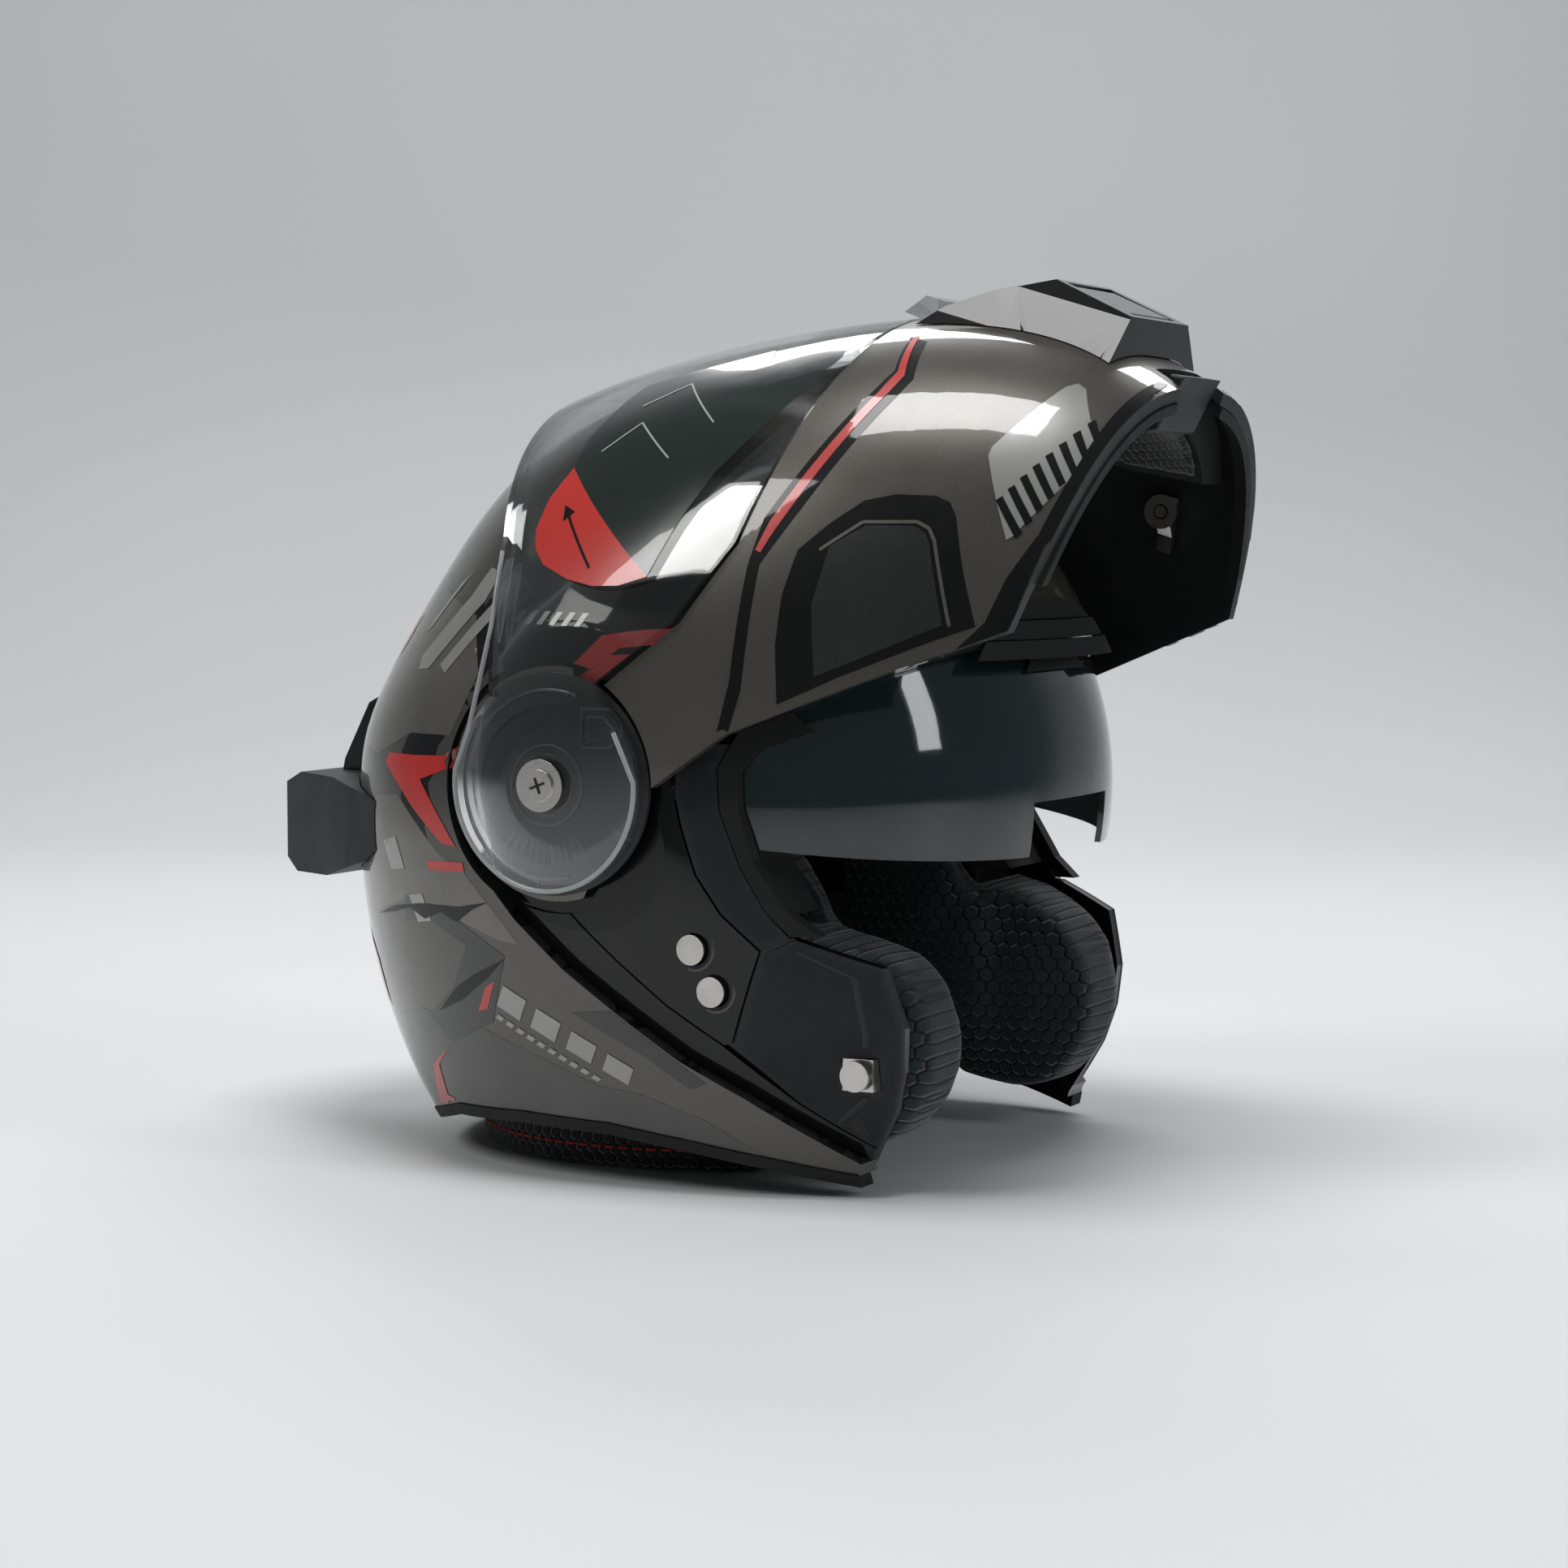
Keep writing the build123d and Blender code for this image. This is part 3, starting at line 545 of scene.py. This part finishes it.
def dashes(a, b, count, width, slant, share=0.6):
    """Row of slanted dashes from a to b."""
    (x0, z0), (x1, z1) = a, b
    dx, dz = (x1 - x0) / count, (z1 - z0) / count
    length = math.hypot(dx, dz)
    ux, uz = dx / length, dz / length
    made = []
    for k in range(count):
        px, pz = x0 + dx * k, z0 + dz * k
        ex, ez = px + dx * share, pz + dz * share
        ox, oz = -uz * width + ux * slant, ux * width + uz * slant
        made.append([(px, pz), (ex, ez), (ex + ox, ez + oz), (px + ox, pz + oz)])
    return made


SHELL = dict(node="outer_shell", body="helmet", slot="shell_paint")
decals("shell_lower_panel", [[(-60, -76), (-29, -80), (-6, -88), (12, -95), (28, -97), (48, -104), (66, -115),
                              (40, -111), (14, -107.3), (-20, -106.4), (-51, -108), (-90, -118), (-100, -108),
                              (-92, -90), (-78, -80)]], mat=GRAPHIC["lower"], lift=0.08, **SHELL)
decals("shell_flank_panel", [[(-92, 40), (-60, 60), (-36, 52), (-30, 34), (-40, 14), (-60, 14), (-80, 6),
                              (-100, 10), (-106, 26)],
                             [(-82, -8), (-66, -6), (-44, -24), (-33, -29), (-19, -43), (-12, -51),
                              (-20, -50), (-38, -44), (-62, -40), (-84, -46), (-90, -26)]],
       mat=GRAPHIC["taupe"], lift=0.08, **SHELL)
decals("shell_slate_marks", [[(-62.5, -38.6), (-38, -43.8), (-17.7, -55), (-25.4, -77.3), (-45.4, -86.3),
                              (-56, -78), (-41, -66.7), (-33.4, -52.7), (-49.7, -46), (-63.5, -47)],
                             [(6, -71.7), (20, -70.2), (31, -78), (50.6, -92), (44.7, -94), (30, -84),
                              (15.8, -76.8)]], mat=GRAPHIC["slate"], lift=0.14, **SHELL)
decals("shell_brow_panel", [[(58, 21), (52, 40), (20, 46), (-4, 45), (-28, 34), (-34, 54), (-12, 78),
                             (40, 92), (84, 74), (104, 58), (108, 47), (80, 33)]],
       mat=GRAPHIC["black"], lift=0.08, **SHELL)
decals("shell_red_marks", [
    [(-74.4, 4), (-72, 7), (-57.3, 7), (-41.5, 7.5), (-30.7, 16), (-26.2, 14), (-28.4, 6.9), (-53.1, -0.5),
     (-35.9, -21.2), (-42.2, -20.6), (-58, -9), (-63.8, -4)],
    [(5.3, 37.7), (15.6, 46.6), (30, 48.4), (42.1, 48.8), (42, 44.4), (21.8, 42.7), (11.9, 35.8)],
    [(0.6, 29.6), (18.4, 40.4), (25.7, 40.8), (8.7, 29)],
    [(-50, -26.4), (-33, -26), (-32.4, -29), (-49, -29.4)],
    [(-48.4, -88), (-56.5, -95), (-56.5, -106), (-28.4, -108.2), (-36, -110.6), (-65.4, -112.6),
     (-60.5, -95.9)],
    [(-27, -66), (-22.6, -63.5), (-27, -73), (-31, -74)],
    [(-88, 38), (-80, 50), (-76, 52), (-82, 42), (-92, 32)],
    [(-100, -52), (-90, -64), (-86, -80), (-92, -76), (-104, -60)]],
    mat=GRAPHIC["red"], lift=0.24, step=2.0, **SHELL)
decals("shell_light_bars", [
    [(-34.7, 67.2), (-41.2, 58), (-63.2, 38.4), (-63.4, 34.1), (-57, 34.6), (-33.2, 56.6), (-28.9, 65.9)],
    [(-24.5, 66), (-29.5, 55.5), (-50.5, 36), (-47, 33.5), (-25.5, 53.5), (-20, 65)],
    [(-50, 62), (-44, 66), (-62, 48), (-66, 46)],
    [(-75, -22), (-67, -20), (-62, -30), (-70, -31)], [(-60, -38.5), (-53, -37.5), (-49, -46), (-56, -47)],
    *dashes((-18, 50), (10, 49), 6, 4.2, 2.4, 0.45)],
    mat=GRAPHIC["silver"], lift=0.24, step=2.0, **SHELL)
decals("shell_side_bars",                             # plain bars and dashes, no lettering
       [bar((-21 + 12.4 * k, -68 - 6.3 * k), (-12.4 + 12.4 * k, -72.4 - 6.3 * k), 7.6 - 0.5 * k)
        for k in range(4)]
       + dashes((-24, -75.5), (14, -94.5), 10, 1.7, 0.8, 0.6),
       mat=GRAPHIC["silver"], lift=0.26, step=2.0, **SHELL)
decals("shell_torn_edge", [[(-82, -47), (-70, -45), (-60, -42.5), (-52, -45.6), (-44, -42.6), (-37, -45.4),
                            (-30, -41), (-23, -38.1), (-36, -40.4), (-54, -40.6), (-70, -43)],
                           [(-50, -76), (-40, -67), (-30, -61.4), (-18, -56), (-26, -63), (-38, -71)]],
       mat=GRAPHIC["black"], lift=0.30, step=2.0, **SHELL)

CHIN = dict(node="chin_bar_shell", body="chin_bar", turn=OPENING, slot="chin_paint")
decals("chin_black_panels", [
    [(94, -57.4), (104, -63.4), (113.6, -70.7), (118, -79), (121, -90.4), (120.4, -95), (117, -98.6),
     (102.3, -107), (88, -116), (79.3, -104.5), (61.6, -82.7), (48.4, -67.6), (65.3, -61.4), (80, -58)],
    [(161, -55.2), (150.2, -62.7), (144.2, -61.8), (106.5, -53), (86.3, -47.4), (49, -55.3), (32.4, -55.4),
     (31.5, -52), (50, -51), (85, -43.8), (99.6, -42.6), (143.5, -53.3), (150.8, -54.7), (160.7, -48)],
    [(118, -122), (113, -126.2), (89.6, -124.8), (80, -113), (90, -118), (104, -119)]],
    mat=GRAPHIC["black"], lift=0.10, **CHIN)
decals("chin_inner_facets", [[(98, -66.5), (107, -74.6), (111, -88.6), (110, -92), (107.6, -94.4),
                              (85.8, -107), (68, -86), (60, -76), (80, -68)]],
       mat=GRAPHIC["slate"], lift=0.14, **CHIN)
decals("chin_thin_lines", [bar(p, q, 1.0) for p, q in (
    ((96, -63.9), (107.6, -73.2)), ((107.6, -73.2), (112.3, -88.6)), ((112.3, -88.6), (111.5, -92.7)),
    ((111.5, -92.7), (108.4, -95.8)), ((108.4, -95.8), (86, -109)))],
       mat=GRAPHIC["taupe"], lift=0.22, step=2.0, **CHIN)
decals("chin_red_stripe", [[(161.7, -50.6), (150.3, -59.2), (144.9, -58.6), (94.7, -47.1), (89.7, -46.2),
                            (89.9, -44.2), (99.6, -44.9), (143.5, -55.3), (150.8, -56), (160.7, -49.2)]],
       mat=GRAPHIC["red"], lift=0.24, step=2.0, **CHIN)
decals("chin_comb_patch", [[(136.2, -98.6), (138.8, -98.2), (160.5, -105.4), (162.3, -107.4), (161.4, -110.6),
                            (154, -117.6), (145.8, -125.8), (134.6, -122.4), (116, -115.8), (114.6, -114.6),
                            (122.6, -108.6)]], mat=GRAPHIC["silver"], lift=0.18, step=2.0, **CHIN)
comb = []
for k in range(8):
    x, z = 124.6 + 3.95 * k, -107.0 - 1.58 * k
    reach = 1.0 - 0.045 * k
    comb.append([(x, z), (x + 1.7, z - 1.15), (x - 6.9 * reach, z - 10.9 * reach),
                 (x - 9.0 * reach, z - 9.8 * reach)])
decals("chin_comb_teeth", comb, mat=GRAPHIC["black"], lift=0.28, step=2.0, **CHIN)
decals("chin_edge_band", [[(92, -122.4), (113, -122.2), (140, -122.6), (168, -122), (168, -126), (92, -126)]],
       mat=GRAPHIC["black"], lift=0.34, step=2.0, **CHIN)
for word, side in SIDES:
    CHEEK = dict(node=f"cheek_plate_{word}", body="helmet", sides=(side,), step=1.5)
    line = [(80, -50), (96, -58), (98.5, -76), (98, -80)], [(97, -96), (88, -104), (91, -111)]
    runs = [bar(p, q, 0.9) for part in line for p, q in zip(part, part[1:])]
    # Black line along each groove: painted shade in the groove.
    decals(f"cheek_groove_{word}", runs, mat=GRAPHIC["black"], lift=0.10, **CHEEK)
    # Lighter strip beside each groove, up and to the rear: a painted highlight on the groove's lit edge.
    decals(f"cheek_groove_lit_edge_{word}", [[(x - 0.9, z + 0.3) for x, z in run] for run in runs],
           mat=MATS["ratchet_plastic"], lift=0.16, **CHEEK)
    # Black patch over the slot: painted shade in its hollow.
    decals(f"cheek_slot_{word}", [[(90, -104), (93.5, -101.4), (96, -108), (93, -112)]],
           mat=GRAPHIC["black"], lift=0.12, **CHEEK)


# ---- shield: protective film, edge bead ---------------------------------------------------
SHIELD = dict(node="face_shield", body="face_shield", turn=OPENING, lift=0.25)
decals("shield_film", [[(71.9, -13.6), (89.5, -16), (107.4, -20), (126, -27.5), (143, -34.6), (154.3, -34),
                        (158, -20), (152, 8), (141.8, 24), (130.9, 31), (116, 36), (101.8, 38),
                        (92.7, 35.1)]],
       mat=FILM, step=4.0, **SHIELD)
decals("shield_film_corner", [[(92.7, 35.1), (71.9, -13.6), (66.4, -5), (63.4, 4), (62.4, 14.4), (63.6, 26),
                               (67, 32), (72.3, 35.6), (82, 37.2)]], mat=FILM_RED, step=3.0, **SHIELD)
SHIELD["lift"] = 0.4
decals("shield_film_arrow", [bar((68, 8), (80, 26), 0.9), [(82, 29), (77.6, 26.4), (81.4, 23.8)]],
       mat=GRAPHIC["black"], step=2.0, **SHIELD)
decals("shield_film_lines", [bar((100, 28), (112, 20), 0.5), bar((112, 20), (106, 0), 0.5),
                             bar((116, 26), (127, 14), 0.5), bar((127, 14), (120, -8), 0.5)],
       mat=FILM_LINE, step=2.0, **SHIELD)


bead = []
for side in (-1, 1):
    line = []
    for k in range(40):                                # around the arm's end and along the rear edge
        a = math.radians(100 + 190 * k / 39)
        line.append((33.2 * math.cos(a), 33.2 * math.sin(a)))
    line = [(62, 45.0), (40, 36.0), (21, 28.0), (8, 31.5)] + line + [(14, -31), (24, -20)]
    points = [on_side("face_shield", x, z, side, OPENING, 0.1) for x, z in line]
    points = [p for p in points if p is not None]
    bead.append(tube("bead", points, 0.0008, BEAD, "face_shield"))
merge("shield_edge_bead", bead, "face_shield")


# ---- hub mechanism seen through the shield's arm ------------------------------------------
def ring(name, centre, radius, width, height, side, mat, body, turns=64, start=0.0, sweep=360.0):
    """Raised flat ring about the pivot's axis, with a bevelled section."""
    verts, faces = [], []
    section = [(-width / 2, 0), (-width / 2 + 0.25, height), (width / 2 - 0.25, height), (width / 2, 0)]
    full = abs(sweep - 360) < 1e-6
    count = turns if full else turns + 1
    for k in range(count):
        a = math.radians(start + sweep * k / turns)
        for r, h in section:
            across, up = (radius + r) * math.cos(a), (radius + r) * math.sin(a)
            verts.append(centre + Vector((across, side * h, up)) * MM)
    for k in range(turns):
        a, b = 4 * k, 4 * ((k + 1) % count)
        for j in range(4):
            faces.append((a + j, a + (j + 1) % 4, b + (j + 1) % 4, b + j))
    return piece(name, verts, faces, mat, body)


def spoke(angle, inner, outer, radius):
    """Straight rib of the hub, from the inner to the outer radius in mm."""
    a = math.radians(angle)
    ends = [PIVOT + Vector((r * math.cos(a), 0, r * math.sin(a))) * MM for r in (inner, outer)]
    return tube("rib", ends, radius, RIB, "chin_bar")


def seated(name, node, side, top=0.00045):
    """Set a piece that was built about the pivot's plane on to the node's outer face."""
    for v in bpy.data.objects[name].data.vertices:
        p = (v.co - PIVOT) * 1000
        hit = on_side(node, p.x, p.z, side, 0.0, 0.0)
        if hit is not None:
            v.co.y = hit.y + side * min(side * (v.co.y - PIVOT.y), top)


for word, side in SIDES:
    hub = [ring("r", PIVOT, r, w, 1.0, side, RIB, "chin_bar") for r, w in ((12.5, 1.4), (9.6, 1.0))]
    hub.append(ring("r", PIVOT, 29.5, 1.6, 1.4, side, RIB, "chin_bar", start=70, sweep=215))
    for k in range(11):                                # coil ribs under the pivot
        hub.append(spoke(232 + 7 * k, 19, 25, 0.0006))
    for x0, x1, z0, z1 in ((12, 26, 12, 24), (14.5, 23.5, 14.5, 21.5)):
        loop = [(x0, z0), (x1 - 4, z0), (x1, z0 + 4), (x1, z1 - 4), (x1 - 4, z1), (x0, z1)]
        loop = [PIVOT + Vector((x, 0, z)) * MM for x, z in loop]
        hub.append(tube("d", loop, 0.0005, RIB, "chin_bar", closed=True))
    for a in (205, 240, 262, 300, 330):                # tapered slits below the pivot
        hub.append(spoke(a, 26.5, 33.0, 0.0005))
    merge(f"hub_ribs_{word}", hub, "chin_bar")
    seated(f"hub_ribs_{word}", f"ratchet_plate_{word}", side)
    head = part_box("shield_screws")
    y = head[0 if side < 0 else 1].y + side * 0.00005
    cross = []
    for turn in (20, 110):
        a = math.radians(turn)
        d = Vector((math.cos(a), 0, math.sin(a))) * 0.0026
        middle = Vector((PIVOT.x, y, PIVOT.z))
        cross.append(tube("c", [middle - d, middle + d], 0.00045, MATS["gloss_black"], "chin_bar"))
    merge(f"screw_cross_{word}", cross, "chin_bar")


# ---- studs --------------------------------------------------------------------------------
STUDS = [(47, -50), (53, -63)]
STUD_SEAT = 0.1155                     # where the probe misses the plate
for word, side in SIDES:
    made = []
    for x, z in STUDS:
        hit = on_side(f"side_plate_{word}", x + 7, z, side, 0.0, 0.0)
        y = (abs(hit.y) if hit is not None else STUD_SEAT)
        centre = at(x, 0, z) + Vector((0, side * (y - 0.0006), 0))
        # The real rings are dark gloss; the lighter rib grey here is a painted highlight.
        made.append(ring("s", centre, 6.3, 1.9, 1.1, side, RIB, "helmet", turns=48))
    merge(f"stud_rings_{word}", made, "helmet")


# ---- lining -------------------------------------------------------------------------------
def remeshed(node, name, voxel, smooth=6, factor=0.5):
    """Even quad skin over a CAD solid."""
    o = link(bpy.data.objects.new(name, NODES[node].data.copy()))
    weld = o.modifiers.new("weld", "WELD")
    weld.merge_threshold = 0.00005
    rm = o.modifiers.new("remesh", "REMESH")
    rm.mode = "VOXEL"
    rm.voxel_size = voxel
    sm = o.modifiers.new("smooth", "SMOOTH")
    sm.iterations, sm.factor = smooth, factor
    me = evaluated(o)
    bpy.data.objects.remove(o)
    me.name = name
    return link(bpy.data.objects.new(name, me))


def inflated(o, pressure, cap, hold, frames=20):
    """Cloth swells the pad; hold(point, normal) gives how much each point may move, 0 to 1."""
    me = o.data
    rest = [v.co.copy() for v in me.vertices]
    normals = [v.normal.copy() for v in me.vertices]
    cloth = o.modifiers.new("cloth", "CLOTH")
    s = cloth.settings
    s.quality, s.mass = 4, 0.3
    s.tension_stiffness = s.compression_stiffness = 12
    s.bending_stiffness = 0.6
    s.use_pressure, s.uniform_pressure_force = True, pressure
    s.effector_weights.gravity = 0
    cloth.collision_settings.use_collision = False
    scene = bpy.context.scene
    for f in range(1, frames + 1):
        scene.frame_set(f)
    got = o.evaluated_get(bpy.context.evaluated_depsgraph_get()).data
    moved = [v.co.copy() for v in got.vertices]
    o.modifiers.remove(cloth)
    scene.frame_set(1)
    for v, r, n, m in zip(me.vertices, rest, normals, moved):
        step = m - r
        if step.length > cap:
            step = step.normalized() * cap
        v.co = r + step * hold(r, n)
    me.update()
    return o


def subdivide(o, levels=1):
    sub = o.modifiers.new("sub", "SUBSURF")
    sub.levels = sub.render_levels = levels
    me = evaluated(o)
    o.modifiers.remove(sub)
    o.data = me
    shade_smooth(me)
    return o


def dress(o, node, mat, body):
    o.data.materials.clear()
    o.data.materials.append(mat)
    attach(o, body)
    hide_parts(node)
    return o


for word, side in SIDES:
    pad = remeshed(f"cheek_pad_{word}", f"cheek_cushion_{word}", 0.0040)

    def hold(p, n, side=side):
        return 0.0 if n.y * side > 0.25 else 1.0 - 0.8 * max(0.0, n.y * side)
    inflated(pad, 4.0, 0.005, hold)
    subdivide(pad)
    dress(pad, f"cheek_pad_{word}", MATS["cheek_fabric"], "helmet")

roll = remeshed("neck_roll", "neck_cushion", 0.0040)
inflated(roll, 3.0, 0.003, lambda p, n: 0.0 if (n.z < -0.3 or n.x > 0.6) else 1.0)
for v in roll.data.vertices:
    v.co.z = max(v.co.z, 0.0003)
subdivide(roll)
dress(roll, "neck_roll", MATS["neck_fabric"], "helmet")

crown = remeshed("crown_pad", "crown_cushion", 0.0040)
inflated(crown, 2.0, 0.002, lambda p, n: 1.0 if (PIVOT + Vector((0, 0, -0.01)) - p).dot(n) > 0 else 0.0)
subdivide(crown)
dress(crown, "crown_pad", MATS["comfort_fabric"], "helmet")

curtain = remeshed("chin_curtain", "chin_curtain_cloth", 0.0016, smooth=3)
shade_smooth(curtain.data)
dress(curtain, "chin_curtain", MATS["comfort_fabric"], "chin_bar")

for word in ("right", "left"):
    node = f"chin_strap_{word}"
    web = link(bpy.data.objects.new(f"strap_webbing_{word}", NODES[node].data.copy()))
    for kind, settings in (("WELD", dict(merge_threshold=0.00005)),
                           ("BEVEL", dict(width=0.0004, segments=2))):
        mod = web.modifiers.new(kind.lower(), kind)
        for key, value in settings.items():
            setattr(mod, key, value)
    me = evaluated(web)
    web.modifiers.clear()
    web.data = me
    me.materials.clear()
    me.materials.append(MATS["webbing"])
    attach(web, "helmet")
    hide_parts(node)


# ---- stitching ----------------------------------------------------------------------------
def stitches(name, points, mat, body, length=0.0032, gap=0.0016, radius=0.00042):
    """Row of short threads that follows points."""
    made = []
    total, target, drawing = 0.0, length, True
    previous = points[0]
    run = [previous]
    for p in points[1:]:
        total += (p - previous).length
        run.append(p)
        if total >= target:
            if drawing and len(run) > 1:
                made.append(tube("s", run, radius, mat, body, sides=6))
            drawing, total = not drawing, 0.0
            target = length if drawing else gap
            run = [p]
        previous = p
    return merge(name, made, body)


low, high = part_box("neck_roll")
roll_tree = BVHTree.FromPolygons([v.co for v in roll.data.vertices], [p.vertices for p in roll.data.polygons])
centre = at(-4, 0, 0)
seam = []
for k in range(900):
    a = math.radians(52 + 256 * k / 899)
    direction = Vector((math.cos(a), math.sin(a), 0))
    start = Vector((centre.x, 0, low.z + 0.0075)) + direction * 0.14
    hit, normal, _, _ = roll_tree.ray_cast(start, -direction, 0.1)
    if hit is not None and normal is not None:
        seam.append(hit + direction * 0.0002)
if len(seam) > 10:
    stitches("neck_seam", seam, GRAPHIC["thread"], "helmet")


# ---- floor, light, camera -----------------------------------------------------------------
def backdrop():
    mat, nodes, links, bsdf = tree_of("backdrop")
    coord = nodes.new("ShaderNodeTexCoord").outputs["Object"]
    soft = noise(nodes, links, coord, 1.2, 2.0)
    links.new(ramp(nodes, links, soft, [(0.3, (0.70, 0.71, 0.72)), (0.7, (0.76, 0.765, 0.775))]),
              bsdf.inputs["Base Color"])
    bsdf.inputs["Roughness"].default_value = 0.55
    bsdf.inputs["Specular IOR Level"].default_value = 0.25
    verts, faces = [], []
    profile = [(-1.6, 0.0)] + [(1.1 + 0.9 * math.sin(math.radians(a)), 0.9 - 0.9 * math.cos(math.radians(a)))
                               for a in range(0, 91, 6)] + [(2.0, 3.2)]
    turn = math.radians(VIEW_TURN)
    right, away = Vector((math.cos(turn), math.sin(turn), 0)), Vector((-math.sin(turn), math.cos(turn), 0))
    for d, h in profile:
        for s in (-4.0, 4.0):
            verts.append(right * s + away * d + Vector((0, 0, h)))
    for k in range(len(profile) - 1):
        faces.append((2 * k, 2 * k + 1, 2 * k + 3, 2 * k + 2))
    piece("floor", verts, faces, mat, None)


backdrop()
world = bpy.data.worlds.new("studio")
world.use_nodes = True
world.node_tree.nodes["Background"].inputs["Color"].default_value = (0.62, 0.67, 0.68, 1)
world.node_tree.nodes["Background"].inputs["Strength"].default_value = 0.16
bpy.context.scene.world = world
AIM = Vector((0.02, 0.0, 0.15))


def softbox(name, azimuth, elevation, distance, size, power, tint=(1, 1, 1)):
    """Area light on a sphere about the helmet, turned towards it; degrees and metres."""
    a, e = math.radians(azimuth), math.radians(elevation)
    where = AIM + distance * Vector((math.sin(a) * math.cos(e), -math.cos(a) * math.cos(e), math.sin(e)))
    data = bpy.data.lights.new(name, "AREA")
    data.shape, data.size, data.size_y = "RECTANGLE", *size
    data.energy, data.color = power, tint
    o = link(bpy.data.objects.new(name, data))
    o.location = where
    o.rotation_euler = (AIM - where).to_track_quat("-Z", "Y").to_euler()


softbox("top", 10, 80, 1.5, (0.9, 0.5), 14)
softbox("key", -34, 40, 1.8, (0.5, 0.7), 8, (1, 0.99, 0.97))
softbox("side", 84, 26, 1.8, (0.35, 1.0), 6, (0.96, 0.98, 1))
softbox("back", 196, 42, 1.5, (1.2, 0.35), 7)
wash = bpy.data.lights.new("backdrop_wash", "AREA")
wash.shape, wash.size, wash.size_y, wash.energy = "RECTANGLE", 3.2, 0.6, 13
wash_holder = link(bpy.data.objects.new("backdrop_wash", wash))
wash_holder.location = (-0.35, 0.72, 2.2)
wash_holder.rotation_euler = (math.radians(28), 0, math.radians(VIEW_TURN))
wash_holder.visible_glossy = False

camera = link(bpy.data.objects.new("camera", bpy.data.cameras.new("camera")))
camera.location = PIVOT + Vector((0.548, -1.036, 0.076))
camera.rotation_euler = (math.radians(90 - VIEW_DIP), 0, math.radians(VIEW_TURN))
camera.data.lens = 78.45
camera.data.sensor_width = 36
bpy.context.scene.camera = camera
bpy.context.scene.view_settings.view_transform = "Standard"
